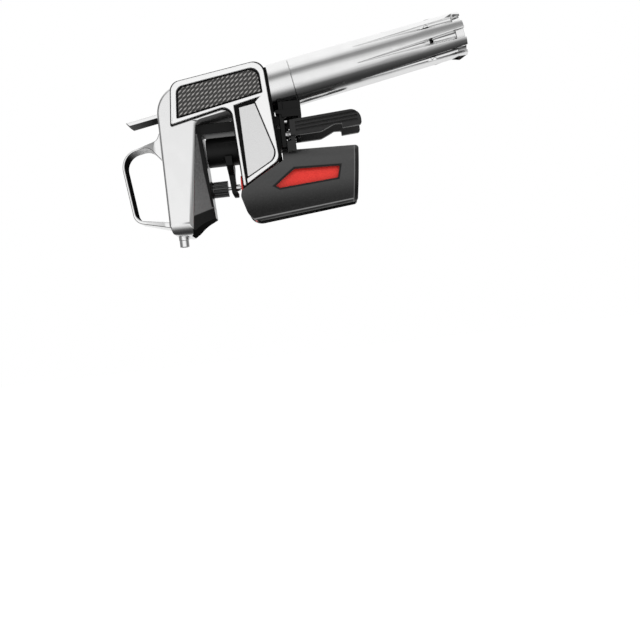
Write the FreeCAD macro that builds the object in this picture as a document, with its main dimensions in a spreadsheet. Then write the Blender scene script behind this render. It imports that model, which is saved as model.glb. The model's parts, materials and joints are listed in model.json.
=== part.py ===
import FreeCAD
import Part
import Sketcher
import math
import os

# Wine preservation dispenser, shown as it pours from a bottle that lies level.
#
# +X runs along the needle towards the bottle, +Z points from the spout to the capsule cup, and
# -Y is the side that the person pouring sees on the left. The origin is on the needle's axis, in
# the plane where the bottle's lip rests. Lengths are millimetres and angles degrees.
#
# The clamp carriage with its rail and jaws holds the bottle. The casting with the arm, head and
# cup slides on the rail and carries the needle.

SIZES = {
    # Arm and head casting, seen from the side
    "arm_left": -46.6,
    "arm_chamfer_z": -18.6,
    "foot_left_x": -45.1,
    "foot_left_z": -23.9,
    "foot_right_x": -35.8,
    "foot_right_z": -26.0,
    "joint_low_x": -33.6,
    "joint_low_z": -24.0,
    "joint_high_x": -25.5,
    "joint_high_z": 38.2,
    "roof_right_z": 42.2,
    "shoulder_round": 17.0,
    "roof_round": 4.5,
    "fork_round": 3.5,
    "foot_round": 1.5,
    "foot_side_round": 8.4,
    "casting_half": 15.2,
    "casting_wall": 2.0,
    "casting_edge": 1.6,
    "bevel_width": 2.3,
    "bevel_depth": 1.4,
    "casting_inset": 0.6,
    "cavity_low_z": -20.5,
    "cavity_high_z": 30.9,
    "fork_gap_half": 11.0,
    "neck_space_radius": 15.15,
    "neck_space_start": -1.0,
    # Bright frame on each side of the head
    "frame_low_left_x": -38.9,
    "frame_low_left_z": 36.9,
    "frame_inner_x": -4.4,
    "frame_inner_z": 44.4,
    "frame_tip_x": -2.35,
    "frame_tip_z": -2.0,
    "frame_low_right_x": 18.9,
    "frame_low_right_z": 10.75,
    "frame_top_right_x": 15.3,
    "frame_top_right_z": 67.2,
    "frame_top_left_x": -36.6,
    "frame_top_left_z": 59.9,
    "frame_inner_round": 5.5,
    "frame_low_round": 5.5,
    "frame_top_right_round": 6.5,
    "frame_top_left_round": 6.0,
    "frame_small_round": 0.7,
    "frame_thick": 1.8,
    "backing_thick": 1.0,
    "backing_rim": 0.7,
    # Grip pad and name plate, let into the frame
    "pad_low_left_x": -34.4,
    "pad_low_left_z": 40.9,
    "pad_low_right_x": 12.8,
    "pad_low_right_z": 49.8,
    "pad_top_right_x": 12.0,
    "pad_top_right_z": 62.9,
    "pad_top_left_x": -33.0,
    "pad_top_left_z": 56.5,
    "pad_top_right_round": 5.0,
    "pad_top_left_round": 4.5,
    "pad_small_round": 0.6,
    "pad_gap": 1.0,
    "pad_thick": 1.5,
    "plate_tip_x": 0.4,
    "plate_tip_z": 3.1,
    "plate_right_x": 17.8,
    "plate_right_z": 12.5,
    "plate_top_right_x": 8.7,
    "plate_top_right_z": 43.5,
    "plate_top_left_x": -0.3,
    "plate_top_left_z": 42.0,
    "plate_right_round": 6.5,
    "plate_small_round": 0.4,
    "plate_thick": 1.3,
    "plate_gap": 0.6,
    "recess_low_left_x": -0.85,
    "recess_low_right_x": 0.1,
    "recess_low_z": -3.5,
    "recess_top_left_x": -3.1,
    "recess_top_left_z": 43.6,
    "recess_top_right_x": 12.2,
    "recess_top_right_z": 47.0,
    # Black plate on the end of the head
    "end_plate_thick": 2.2,
    "end_plate_inset": 0.2,
    "end_plate_gap_half": 10.6,
    "end_plate_top_z": 63.5,
    "end_plate_low_z": 8.2,
    # Cover on the inner side of the arm
    "cover_right_low_x": -20.8,
    "cover_right_low_z": -16.7,
    "cover_right_high_x": -23.4,
    "cover_top_z": 31.0,
    "cover_arch_x": -28.0,
    "cover_arch_z": -19.6,
    "cover_arch_round": 21.0,
    "cover_half_right": 6.4,
    "cover_wall": 1.7,
    "cover_gap": 0.05,
    "cover_eye_radius": 5.2,
    # Finger loop
    "loop_half": 7.2,
    "loop_root_half": 11.0,
    "loop_root_x": -60.0,
    "loop_pad_x": -47.3,
    "loop_top_z": 35.5,
    "loop_flare_x": -49.0,
    "loop_flare_z": 30.3,
    "loop_left_x": -71.6,
    "loop_left_z": 25.4,
    "loop_low_x": -67.0,
    "loop_low_z": -14.3,
    "loop_end_z": -19.9,
    "hole_top_z": 18.0,
    "hole_crown_x": -54.6,
    "hole_crown_z": 27.6,
    "hole_left_x": -70.0,
    "hole_left_z": 24.4,
    "hole_low_x": -65.6,
    "hole_low_z": -13.0,
    "hole_end_z": -16.4,
    "loop_big_round": 11.0,
    "loop_low_round": 6.5,
    "loop_flare_round": 4.0,
    "hole_big_round": 9.0,
    "hole_low_round": 5.5,
    "hole_crown_round": 6.0,
    # Cup axis: its seam with the collar, and its tilt from the needle's axis
    "seam_x": 31.0,
    "seam_z": 56.5,
    "cup_tilt": 9.7,
    "seam_gap": 0.15,
    "collar_left": -17.0,
    "collar_web_left": -7.0,
    "spigot_clear": 0.1,
    "spigot_wall": 0.85,
    "spigot_reach": 5.4,
    "thread_gap": 0.1,
    "mouth_wall": 1.35,
    "cup_end": 101.2,
    "cup_end_wall": 1.5,
    "capsule_room": 0.25,
    "cup_bore_end": 82.0,
    "cup_seat": 90.5,
    "cup_seat_radius": 7.5,
    "cup_floor": 96.0,
    "cap_over": 0.1,
    "cap_bore_gap": 0.05,
    "cap_sink": 0.5,
    "flute_start": 38.0,
    "flute_radius": 2.7,
    "flute_lift": 1.2,
    "flute_count": 8,
    "flute_angle": 11.0,
    "flute_point": 0.05,
    # Gas capsule and what opens it
    "capsule_front": -2.2,
    "capsule_neck_radius": 3.6,
    "capsule_neck_end": 4.0,
    "capsule_radius": 11.0,
    "capsule_body_start": 13.0,
    "capsule_body_end": 79.0,
    "capsule_end": 88.0,
    "capsule_wall": 1.4,
    "capsule_mouth_radius": 1.3,
    "pierce_radius": 0.95,
    "pierce_bore": 0.4,
    "pierce_left": -12.0,
    "pierce_right": -0.6,
    "seal_radius": 4.2,
    "nut_thick": 2.3,
    "nut_room": 0.15,
    # Regulator and valve on the cup axis
    "regulator_left": -66.0,
    "regulator_step": -35.8,
    "regulator_right": -14.05,
    "regulator_tube": 4.6,
    "regulator_radius": 8.6,
    "regulator_fit": 0.1,
    "regulator_bore": 7.0,
    "regulator_bore_left": -34.0,
    "valve_chamber_left": -44.0,
    "valve_chamber_right": -36.6,
    "valve_chamber_radius": 3.4,
    "valve_port_radius": 2.0,
    "nose_left": -20.0,
    "nose_right": -4.2,
    "piston_left": -32.0,
    "piston_thick": 3.5,
    "piston_fit": 0.08,
    "regulator_spring_radius": 4.6,
    "regulator_spring_wire": 0.9,
    "stem_radius": 1.5,
    "stem_fit": 0.08,
    "stem_left": -67.9,
    "stem_head_thick": 2.0,
    "stem_head_radius": 2.9,
    "stem_head_gap": 0.3,
    "valve_spring_radius": 2.3,
    "valve_spring_wire": 0.6,
    # Trigger, in the cup's own directions
    "trigger_tip": -97.8,
    "trigger_tip_low": -96.0,
    "trigger_top": 2.6,
    "trigger_low": 0.3,
    "trigger_heel_left": -73.6,
    "trigger_nose_gap": 0.1,
    "trigger_heel_low": -2.0,
    "trigger_heel_top": 8.4,
    "trigger_half": 7.4,
    "trigger_pivot_along": -70.8,
    "trigger_pivot_up": 5.8,
    "trigger_pin_radius": 1.2,
    "trigger_pin_left": -11.0,
    "trigger_room_half": 8.3,
    "trigger_room_low_z": 38.4,
    "trigger_room_right_x": -34.6,
    "trigger_room_top_z": 54.4,
    "trigger_slot_low_z": 41.5,
    "trigger_slot_top_z": 46.5,
    # Needle, hub and manifold
    "needle_radius": 1.1,
    "needle_bore": 0.6,
    "needle_left": -33.0,
    "needle_tip": 52.0,
    "needle_point": 4.0,
    "hub_left": -21.2,
    "hub_right": -12.2,
    "hub_radius": 4.6,
    "hub_thread_radius": 2.4,
    "hub_rib_count": 14,
    "hub_rib_depth": 0.5,
    "hub_rib_width": 0.9,
    "hub_seal_thick": 0.7,
    "hub_seal_radius": 5.0,
    "block_wall": 0.8,
    "block_right": -31.0,
    "block_half_z": 6.0,
    "block_left_y": -6.6,
    "block_right_y": 11.4,
    "block_nose_radius": 4.2,
    "block_nose_right": -22.0,
    "spout_x": -41.0,
    "spout_radius": 2.8,
    "spout_shoulder": 3.0,
    "shoulder_low_z": -26.8,
    "shoulder_top_z": -22.5,
    "spout_bore": 2.2,
    "spout_low_z": -30.6,
    "spout_top_z": -2.0,
    "gas_tube_x": -32.6,
    "gas_tube_y": 9.4,
    "gas_tube_radius": 1.2,
    "gas_tube_bore": 0.7,
    "gas_tube_low_z": 3.0,
    "gas_tube_top_z": 46.6,
    # Clamp carriage
    "spigot_left_x": -22.0,
    "spigot_z": 21.4,
    "spigot_size": 8.4,
    "spigot_hollow": 6.2,
    "stop_left_x": -3.4,
    "stop_right_x": -0.2,
    "stop_half": 9.2,
    "stop_low_z": -9.5,
    "spine_half": 7.4,
    "spine_low_z": 18.0,
    "spine_top_z": 29.8,
    "wall_left_x": 21.3,
    "wall_thick": 2.6,
    "wall_half": 11.6,
    "bracket_right_x": 34.0,
    "bracket_half": 12.2,
    "bracket_left_x": 19.4,
    "bracket_low_z": 36.7,
    "bracket_step_z": 39.4,
    "bracket_top_half": 11.2,
    "bracket_top_z": 44.0,
    "skirt_thick": 3.4,
    "skirt_low_z": 34.9,
    "web_half": 1.5,
    "saddle_gap": 0.6,
    "lug_thick": 2.6,
    "lug_inner": 5.0,
    "lug_outer": 7.4,
    "lug_radius": 2.4,
    "rail_left_x": -43.6,
    "rail_half": 7.8,
    "rail_low_z": 31.3,
    "rail_top_z": 36.9,
    "rail_fit": 0.3,
    "grommet_left_x": -4.6,
    "grommet_radius": 6.6,
    "grommet_waist": 4.6,
    "grommet_bore": 1.4,
    # Needle guide
    "guide_left_x": -11.9,
    "guide_right_x": -7.7,
    "guide_half": 9.6,
    "guide_top_z": 17.4,
    "guide_taper_z": 12.0,
    "guide_neck_z": 7.0,
    "guide_neck_half": 3.7,
    "guide_low_left_x": -10.3,
    "guide_low_left_z": -3.0,
    "guide_toe_left_x": -9.2,
    "guide_toe_right_x": -6.7,
    "guide_toe_z": -5.7,
    "guide_toe_top_z": -3.2,
    "guide_heel_z": -1.6,
    "guide_end_round": 3.2,
    "bush_right_x": -5.4,
    "bush_radius": 2.0,
    "bush_bore": 1.2,
    "bush_gap": 0.02,
    # Jaws: two halves of one cone, hinged on pins parallel to the needle
    "jaw_left_x": -7.0,
    "jaw_right_x": 64.6,
    "jaw_left_radius": 21.5,
    "jaw_left_drop": 2.6,
    "cone_spare": 4.0,
    "jaw_right_radius": 17.3,
    "jaw_wall": 2.3,
    "jaw_rim_wall": 1.7,
    "jaw_gap": 1.4,
    "jaw_seam": 0.15,
    "jaw_mouth_x": -4.5,
    "jaw_mouth_z": -7.6,
    "jaw_low_x": -0.7,
    "jaw_low_z": -21.9,
    "jaw_low_round": 8.0,
    "jaw_low_right_z": -16.1,
    "jaw_end_low_x": 60.4,
    "jaw_end_top_x": 64.3,
    "jaw_top_z": 17.5,
    "jaw_top_right_z": 15.8,
    "jaw_top_left_x": 20.9,
    "jaw_corner_round": 3.6,
    "jaw_rim_round": 2.0,
    "liner_left_x": 1.2,
    "liner_right_x": 60.0,
    "liner_gap": 0.1,
    "liner_left_thick": 2.2,
    "liner_right_thick": 0.8,
    "liner_edge": 1.6,
    "window_tip_x": 15.3,
    "window_tip_z": -3.9,
    "window_low_x": 17.6,
    "window_low_z": -5.3,
    "window_right_x": 50.3,
    "window_right_z": -2.9,
    "window_top_right_x": 52.0,
    "window_top_right_z": 3.7,
    "window_top_x": 26.8,
    "window_top_z": 4.6,
    "window_round": 0.8,
    "pivot_y": 8.0,
    "pivot_z": 25.5,
    "pin_radius": 1.5,
    "pin_fit": 0.06,
    "ear_left_x": 24.2,
    "ear_right_x": 29.2,
    "ear_inner": 5.9,
    "ear_outer": 13.2,
    "ear_low_z": 15.4,
    "ear_top_z": 21.2,
    "knuckle_left_x": 26.7,
    "knuckle_top_z": 29.0,
    "lever_inner": 10.6,
    "lever_thick": 3.8,
    "lever_low_z": 24.0,
    "lever_dip_x": 44.0,
    "lever_dip_z": 24.4,
    "lever_notch_x": 52.0,
    "lever_notch_z": 27.9,
    "lever_hook_x": 56.2,
    "lever_hook_z": 25.2,
    "lever_end_x": 67.2,
    "lever_end_low_z": 25.9,
    "lever_end_top_z": 35.3,
    "lever_root_top_z": 32.8,
    "lever_end_round": 6.0,
    "groove_depth": 0.8,
    "groove_width": 1.0,
    "groove_pitch": 2.1,
    "groove_first_z": 26.0,
    "groove_left_x": 30.0,
    "groove_right_x": 65.0,
    "groove_rise": 2.4,
    "jaw_spring_radius": 2.9,
    "jaw_spring_wire": 0.6,
    "jaw_spring_turns": 2.5,
    # Screws
    "screw_radius": 1.25,
    "screw_head_radius": 2.2,
    "screw_head_thick": 1.5,
    "loop_screw_top_z": 27.0,
    "loop_screw_low_z": -17.8,
    "loop_screw_low_y": 5.5,
    "loop_screw_reach": 4.0,
    "rail_screw_y": 4.0,
    "rail_screw_reach": 9.0,
    "block_screw_reach": 1.4,
    "block_screw_left_y": -4.8,
    "block_screw_right_y": 8.0,
    "block_screw_z": -4.3,
}

doc = FreeCAD.newDocument("dispenser")
sheet = doc.addObject("Spreadsheet::Sheet", "Sizes")


class Size:
    """A length that knows both its value and the formula that gives it from the sheet."""

    def __init__(self, value, text):
        self.value = value
        self.text = text

    def __add__(self, other):
        other = as_size(other)
        return Size(self.value + other.value, f"({self.text} + {other.text})")

    def __radd__(self, other):
        return self + other

    def __sub__(self, other):
        other = as_size(other)
        return Size(self.value - other.value, f"({self.text} - {other.text})")

    def __rsub__(self, other):
        return as_size(other) - self

    def __mul__(self, other):
        other = as_size(other)
        return Size(self.value * other.value, f"({self.text} * {other.text})")

    def __rmul__(self, other):
        return self * other

    def __truediv__(self, other):
        other = as_size(other)
        return Size(self.value / other.value, f"({self.text} / {other.text})")

    def __neg__(self):
        return Size(-self.value, f"(-1 * {self.text})")


def as_size(value):
    if isinstance(value, Size):
        return value
    return Size(float(value), f"({float(value):.9g})")


def root(size):
    return Size(math.sqrt(size.value), f"sqrt({size.text})")


def sine(angle):
    return Size(math.sin(math.radians(angle.value)), f"sin({angle.text} * 1deg)")


def cosine(angle):
    return Size(math.cos(math.radians(angle.value)), f"cos({angle.text} * 1deg)")


def arctangent(size):
    return Size(math.degrees(math.atan(size.value)), f"(atan({size.text}) / 1deg)")


class Sheet:
    """The sheet's sizes by name."""


S = Sheet()
for line, (name, number) in enumerate(SIZES.items(), start=1):
    sheet.set(f"A{line}", name)
    sheet.set(f"B{line}", str(number))
    sheet.setAlias(f"B{line}", name)
    setattr(S, name, Size(number, f"Sizes.{name}"))
doc.recompute()

NODES = []


def node(thing, label):
    """Marks an object of the document as a piece to write."""
    thing.Label = label
    NODES.append(thing)
    return thing


def bind(thing, **values):
    for name, value in values.items():
        thing.setExpression(name, as_size(value).text)
    return thing


def place(thing, x=0, y=0, z=0, axis=None, angle=0):
    """Puts a thing at (x, y, z), turned by angle about axis."""
    if axis is not None:
        thing.Placement.Rotation = FreeCAD.Rotation(FreeCAD.Vector(*axis), as_size(angle).value)
        thing.setExpression("Placement.Rotation.Angle", as_size(angle).text + " * 1deg")
    for name, value in (("x", x), ("y", y), ("z", z)):
        thing.setExpression(f"Placement.Base.{name}", as_size(value).text)
    return thing


# ---- Outlines -------------------------------------------------------------------------------

def line_crossing(p, q, a, b):
    """Where the line through p and q meets the line through a and b."""
    px, pz = q[0] - p[0], q[1] - p[1]
    ax, az = b[0] - a[0], b[1] - a[1]
    share = ((a[0] - p[0]) * az - (a[1] - p[1]) * ax) / (px * az - pz * ax)
    return (p[0] + px * share, p[1] + pz * share)


def inset(corners, gap):
    """The outline's corners moved inwards by gap, for corners listed anticlockwise."""
    moved = []
    count = len(corners)
    for i in range(count):
        before, here, after = corners[i - 1], corners[i], corners[(i + 1) % count]
        ux, uz = here[0] - before[0], here[1] - before[1]
        wx, wz = after[0] - here[0], after[1] - here[1]
        u_long = root(ux * ux + uz * uz)
        w_long = root(wx * wx + wz * wz)
        ux, uz, wx, wz = ux / u_long, uz / u_long, wx / w_long, wz / w_long
        turn = ux * wz - uz * wx
        round_radius = here[2] if len(here) > 2 else None
        moved.append((here[0] + (wx - ux) * gap / turn, here[1] + (wz - uz) * gap / turn, round_radius))
    return moved


def draw_outline(sketch, corners, mark="c"):
    """A closed outline whose corners are (x, y) or (x, y, radius), held by named constraints."""
    corners = [tuple(as_size(v) if v is not None else None for v in c) + (None,) * (3 - len(c))
               for c in corners]
    count = len(corners)
    spots = [FreeCAD.Vector(c[0].value, c[1].value, 0) for c in corners]
    ends = []
    for i in range(count):
        if corners[i][2] is None:
            ends.append((spots[i], spots[i], None))
            continue
        back = (spots[i - 1] - spots[i]).normalize()
        ahead = (spots[(i + 1) % count] - spots[i]).normalize()
        half = back.getAngle(ahead) / 2
        radius = corners[i][2].value
        reach = radius / math.tan(half)
        centre = spots[i] + (back + ahead).normalize() * (radius / math.sin(half))
        crown = centre + (spots[i] - centre).normalize() * radius
        ends.append((spots[i] + back * reach, spots[i] + ahead * reach, crown))
    lines = [sketch.addGeometry(Part.LineSegment(ends[i][1], ends[(i + 1) % count][0]), False)
             for i in range(count)]
    rules = []
    held = []

    def hold(kind, targets, size, name):
        held.append((len(rules), name, size))
        rules.append(Sketcher.Constraint(kind, *targets, size.value))

    for i in range(count):
        before, after = lines[i - 1], lines[i]
        x, y, radius = corners[i]
        if radius is None:
            rules.append(Sketcher.Constraint("Coincident", before, 2, after, 1))
            spot, end = after, 1
        else:
            first, last, crown = ends[i]
            turns_left = (spots[i] - spots[i - 1]).cross(spots[(i + 1) % count] - spots[i]).z > 0
            sweep = (first, crown, last) if turns_left else (last, crown, first)
            arc = sketch.addGeometry(Part.Arc(*sweep), False)
            spot, end = sketch.addGeometry(Part.Point(spots[i]), True), 1
            near = 1 if turns_left else 2
            rules.append(Sketcher.Constraint("Tangent", before, 2, arc, near))
            rules.append(Sketcher.Constraint("Tangent", arc, 3 - near, after, 1))
            rules.append(Sketcher.Constraint("PointOnObject", spot, 1, before))
            rules.append(Sketcher.Constraint("PointOnObject", spot, 1, after))
            hold("Radius", (arc,), radius, f"{mark}{i}r")
        hold("DistanceX", (-1, 1, spot, end), x, f"{mark}{i}x")
        hold("DistanceY", (-1, 1, spot, end), y, f"{mark}{i}y")
    first_index = sketch.ConstraintCount
    sketch.addConstraint(rules)
    for index, name, _ in held:
        sketch.renameConstraint(first_index + index, name)
    for _, name, size in held:
        sketch.setExpression(f"Constraints.{name}", size.text)


def draw_circle(sketch, x, y, radius, mark="h"):
    x, y, radius = as_size(x), as_size(y), as_size(radius)
    centre = FreeCAD.Vector(x.value, y.value, 0)
    ring = sketch.addGeometry(Part.Circle(centre, FreeCAD.Vector(0, 0, 1), radius.value), False)
    parts = (("DistanceX", (-1, 1, ring, 3), x, "x"), ("DistanceY", (-1, 1, ring, 3), y, "y"),
             ("Radius", (ring,), radius, "r"))
    for kind, targets, size, letter in parts:
        index = sketch.addConstraint(Sketcher.Constraint(kind, *targets, size.value))
        sketch.renameConstraint(index, mark + letter)
        sketch.setExpression(f"Constraints.{mark}{letter}", size.text)


# ---- Features -------------------------------------------------------------------------------

def new_body(name):
    return doc.addObject("PartDesign::Body", name)


def new_sketch(body, role, offset=0):
    """A sketch on one of the body's own planes, moved along the plane's normal by offset."""
    sketch = body.newObject("Sketcher::SketchObject", body.Name + "_sketch")
    plane = [f for f in body.Origin.OriginFeatures if f.Role == role][0]
    sketch.AttachmentSupport = [(plane, "")]
    sketch.MapMode = "FlatFace"
    sketch.setExpression("AttachmentOffset.Base.z", as_size(offset).text)
    return sketch


def side_sketch(body, corners, middle=0):
    """An outline in X and Z, in the plane Y = middle."""
    sketch = new_sketch(body, "XZ_Plane", -as_size(middle))
    draw_outline(sketch, corners)
    return sketch


def extrude(body, kind, sketch, length, symmetric=True, reverse=False):
    """A pad or pocket of the sketch, half to each side of it unless symmetric is off."""
    feature = body.newObject("PartDesign::" + kind, body.Name + "_" + kind.lower())
    feature.Profile = sketch
    feature.SideType = "Symmetric" if symmetric else "One side"
    feature.Reversed = reverse
    feature.setExpression("Length", as_size(length).text)
    sketch.Visibility = False
    return feature


def slab(body, corners, length, middle=0, cut=False):
    """Adds or cuts a prism with an outline in X and Z and a length in Y, centred on Y = middle."""
    kind = "Pocket" if cut else "Pad"
    return extrude(body, kind, side_sketch(body, corners, middle), length)


def turned(name, profile):
    """A body turned about its own X axis from an outline in (along, radius)."""
    body = new_body(name)
    sketch = side_sketch(body, profile)
    feature = body.newObject("PartDesign::Revolution", name + "_turn")
    feature.Profile = sketch
    feature.ReferenceAxis = (sketch, ["H_Axis"])
    feature.Angle = 360
    return body


def ring_profile(left, right, inner, outer):
    return [(left, inner), (right, inner), (right, outer), (left, outer)]


def box(name, x0, x1, y0, y1, z0, z1):
    thing = doc.addObject("Part::Box", name)
    x0, x1, y0, y1, z0, z1 = (as_size(v) for v in (x0, x1, y0, y1, z0, z1))
    bind(thing, Length=x1 - x0, Width=y1 - y0, Height=z1 - z0)
    return place(thing, x0, y0, z0)


AXIS_TURNS = {"X": ((0, 1, 0), 90), "Y": ((-1, 0, 0), 90), "Z": (None, 0)}


def rod(name, radius, along, start, end, x=0, y=0, z=0):
    """A cylinder along X, Y or Z from start to end; the other two values place its axis."""
    thing = doc.addObject("Part::Cylinder", name)
    bind(thing, Radius=radius, Height=as_size(end) - as_size(start))
    at = {"X": (start, y, z), "Y": (x, start, z), "Z": (x, y, start)}[along]
    axis, angle = AXIS_TURNS[along]
    return place(thing, *at, axis, angle)


def on_cup_axis(thing):
    """Carries a thing made along its own X axis to the cup's axis, its origin at the seam."""
    return place(thing, S.seam_x, 0, S.seam_z, (0, -1, 0), S.cup_tilt)


def cup_rod(name, radius, start, end, up=0):
    """A cylinder along the cup's axis, from start to end counted from the seam."""
    thing = doc.addObject("Part::Cylinder", name)
    bind(thing, Radius=radius, Height=as_size(end) - as_size(start))
    x, z = cup_spot(start, up)
    return place(thing, x, 0, z, (0, 1, 0), 90 - S.cup_tilt)


def cup_spot(along, up=0):
    """The (x, z) of a spot given along the cup's axis from the seam, and above it."""
    along, up = as_size(along), as_size(up)
    c, s = cosine(S.cup_tilt), sine(S.cup_tilt)
    return (S.seam_x + along * c - up * s, S.seam_z + along * s + up * c)


def combine(kind, name, things):
    thing = doc.addObject("Part::" + kind, name)
    thing.Shapes = list(things)
    return thing


def cut(name, base, *tools):
    """The base less all the tools."""
    thing = doc.addObject("Part::Cut", name)
    thing.Base = base
    thing.Tool = tools[0] if len(tools) == 1 else combine("MultiFuse", name + "_tools", tools)
    return thing


def fused(name, *things):
    return combine("MultiFuse", name, things)


def common(name, *things):
    return combine("MultiCommon", name, things)


def own_shape(name, shape):
    thing = doc.addObject("Part::Feature", name)
    thing.Shape = shape
    return thing


def coil_shape(radius, wire, length, turns):
    """A coil spring about +Z from z = 0, its wire's centre on the given radius."""
    path = Part.makeLongHelix(length / turns, length, radius)
    start = FreeCAD.Vector(radius, 0, 0)
    section = Part.Wire(Part.makeCircle(wire / 2, start, FreeCAD.Vector(0, 1, 0)))
    return Part.Wire(path).makePipeShell([section], True, True)


def coil(name, radius, wire, start, end, turns):
    """A coil spring along its own X axis between two seats, its wire inside both."""
    radius, wire, start, end = (as_size(v).value for v in (radius, wire, start, end))
    length = end - start - wire
    upright = coil_shape(radius, wire, length, as_size(turns).value)
    seat = FreeCAD.Placement(FreeCAD.Vector(start + wire / 2, 0, 0),
                             FreeCAD.Rotation(FreeCAD.Vector(0, 1, 0), 90))
    return own_shape(name, upright.transformed(seat.toMatrix(), copy=True))


def screw(name, seat, reach, y, z):
    """A screw along X whose head stands on seat and whose shank reaches back from it."""
    shank = rod(name + "_shank", S.screw_radius, "X", seat - reach, seat, y=y, z=z)
    cap = rod(name + "_head", S.screw_head_radius, "X", seat, seat + S.screw_head_thick, y=y, z=z)
    return fused(name, shank, cap)


SIDES = (("left", -1), ("right", 1))

# ---- Frame outline and the plates on the head's sides ------------------------------------------

FRAME = [
    (S.frame_low_left_x, S.frame_low_left_z, S.frame_small_round),
    (S.frame_inner_x, S.frame_inner_z, S.frame_inner_round),
    (S.frame_tip_x, S.frame_tip_z, S.frame_small_round),
    (S.frame_low_right_x, S.frame_low_right_z, S.frame_low_round),
    (S.frame_top_right_x, S.frame_top_right_z, S.frame_top_right_round),
    (S.frame_top_left_x, S.frame_top_left_z, S.frame_top_left_round),
]
GRIP = [
    (S.pad_low_left_x, S.pad_low_left_z, S.pad_small_round),
    (S.pad_low_right_x, S.pad_low_right_z, S.pad_small_round),
    (S.pad_top_right_x, S.pad_top_right_z, S.pad_top_right_round),
    (S.pad_top_left_x, S.pad_top_left_z, S.pad_top_left_round),
]
PLATE = [
    (S.plate_tip_x, S.plate_tip_z, S.plate_small_round),
    (S.plate_right_x, S.plate_right_z, S.plate_right_round),
    (S.plate_top_right_x, S.plate_top_right_z, S.plate_small_round),
    (S.plate_top_left_x, S.plate_top_left_z, S.plate_small_round),
]
PLATE_EDGE = inset(PLATE, -S.plate_gap)
RECESS = [
    (S.recess_low_left_x, S.recess_low_z),
    (S.recess_low_right_x, S.recess_low_z),
    *PLATE_EDGE[:3],
    (S.recess_top_right_x, S.recess_top_right_z),
    (S.recess_top_left_x, S.recess_top_left_z),
]
FRAME_SEAT = S.casting_half + S.backing_thick


def side_plate(name, corners, seat, thick, side):
    """A flat piece on one side of the head, from seat outwards."""
    body = new_body(name)
    middle = (seat + as_size(thick) / 2) * side
    slab(body, corners, thick, middle)
    return body, middle


def make_side_plates(side_name, side):
    backing, _ = side_plate(side_name + "_backing_plate", inset(FRAME, -S.backing_rim),
                            S.casting_half, S.backing_thick, side)
    node(backing, side_name + "_backing")
    frame, middle = side_plate(side_name + "_frame_plate", FRAME, FRAME_SEAT, S.frame_thick, side)
    slab(frame, inset(GRIP, -S.pad_gap), S.frame_thick * 2, middle, cut=True)
    slab(frame, RECESS, S.frame_thick * 2, middle, cut=True)
    node(frame, side_name + "_trim")
    grip, _ = side_plate(side_name + "_grip_slab", GRIP, FRAME_SEAT, S.pad_thick, side)
    node(grip, side_name + "_grip_pad")
    plate, _ = side_plate(side_name + "_plate", PLATE, FRAME_SEAT, S.plate_thick, side)
    node(plate, side_name + "_name_plate")


# ---- Casting: arm, head and fork ---------------------------------------------------------------

JOINT_LOW = (S.joint_low_x, S.joint_low_z)
JOINT_HIGH = (S.joint_high_x, S.joint_high_z)
HEAD_EDGE = inset(FRAME, S.casting_inset)
CAVITY_LEFT = S.arm_left + S.casting_wall
RAIL_CUT_TOP = S.rail_top_z + S.rail_fit


def casting_outline():
    top_right, top_left = HEAD_EDGE[4], HEAD_EDGE[5]
    slope = (top_right[1] - top_left[1]) / (top_right[0] - top_left[0])
    shoulder_z = top_left[1] + (S.arm_left - top_left[0]) * slope
    return [
        (S.foot_left_x, S.foot_left_z, S.foot_round),
        (S.foot_right_x, S.foot_right_z, S.foot_round),
        JOINT_LOW,
        (S.joint_high_x, S.joint_high_z, S.roof_round),
        (HEAD_EDGE[1][0], S.roof_right_z, S.fork_round),
        (HEAD_EDGE[2][0], HEAD_EDGE[2][1]),
        HEAD_EDGE[3],
        HEAD_EDGE[4],
        (S.arm_left, shoulder_z, S.shoulder_round),
        (S.arm_left, S.arm_chamfer_z, S.foot_round),
    ]


def outer_arm_edges(shape):
    """The edges round the back of the arm's two faces."""
    names = []
    right = S.foot_right_x.value + S.foot_round.value / 2
    for index, edge in enumerate(shape.Edges, start=1):
        bounds = edge.BoundBox
        on_face = abs(abs(bounds.YMin) - S.casting_half.value) < 1e-6 and bounds.YLength < 1e-6
        middle = edge.valueAt((edge.FirstParameter + edge.LastParameter) / 2)
        if on_face and middle.x < right:
            names.append(f"Edge{index}")
    return names


def along_joint(name, corners, before=0, after=0):
    """A prism along the line between casting and cover, its outline square to that line."""
    run, rise = JOINT_HIGH[0] - JOINT_LOW[0], JOINT_HIGH[1] - JOINT_LOW[1]
    body = new_body(name)
    sketch = new_sketch(body, "XY_Plane", -as_size(before))
    draw_outline(sketch, corners)
    extrude(body, "Pad", sketch, root(run * run + rise * rise) + before + after, symmetric=False)
    return place(body, JOINT_LOW[0], 0, JOINT_LOW[1], (0, 1, 0), arctangent(run / rise))


def rounded_foot(name):
    """Everything above the arm's foot, with the foot's two sides rounded towards the middle."""
    body = new_body(name)
    sketch = new_sketch(body, "YZ_Plane", S.loop_left_x)
    top = S.frame_top_right_z * 2
    draw_outline(sketch, [
        (-S.casting_half, top),
        (-S.casting_half, S.foot_right_z, S.foot_side_round),
        (S.casting_half, S.foot_right_z, S.foot_side_round),
        (S.casting_half, top),
    ])
    extrude(body, "Pad", sketch, S.cup_end - S.loop_left_x, symmetric=False)
    return body


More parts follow.
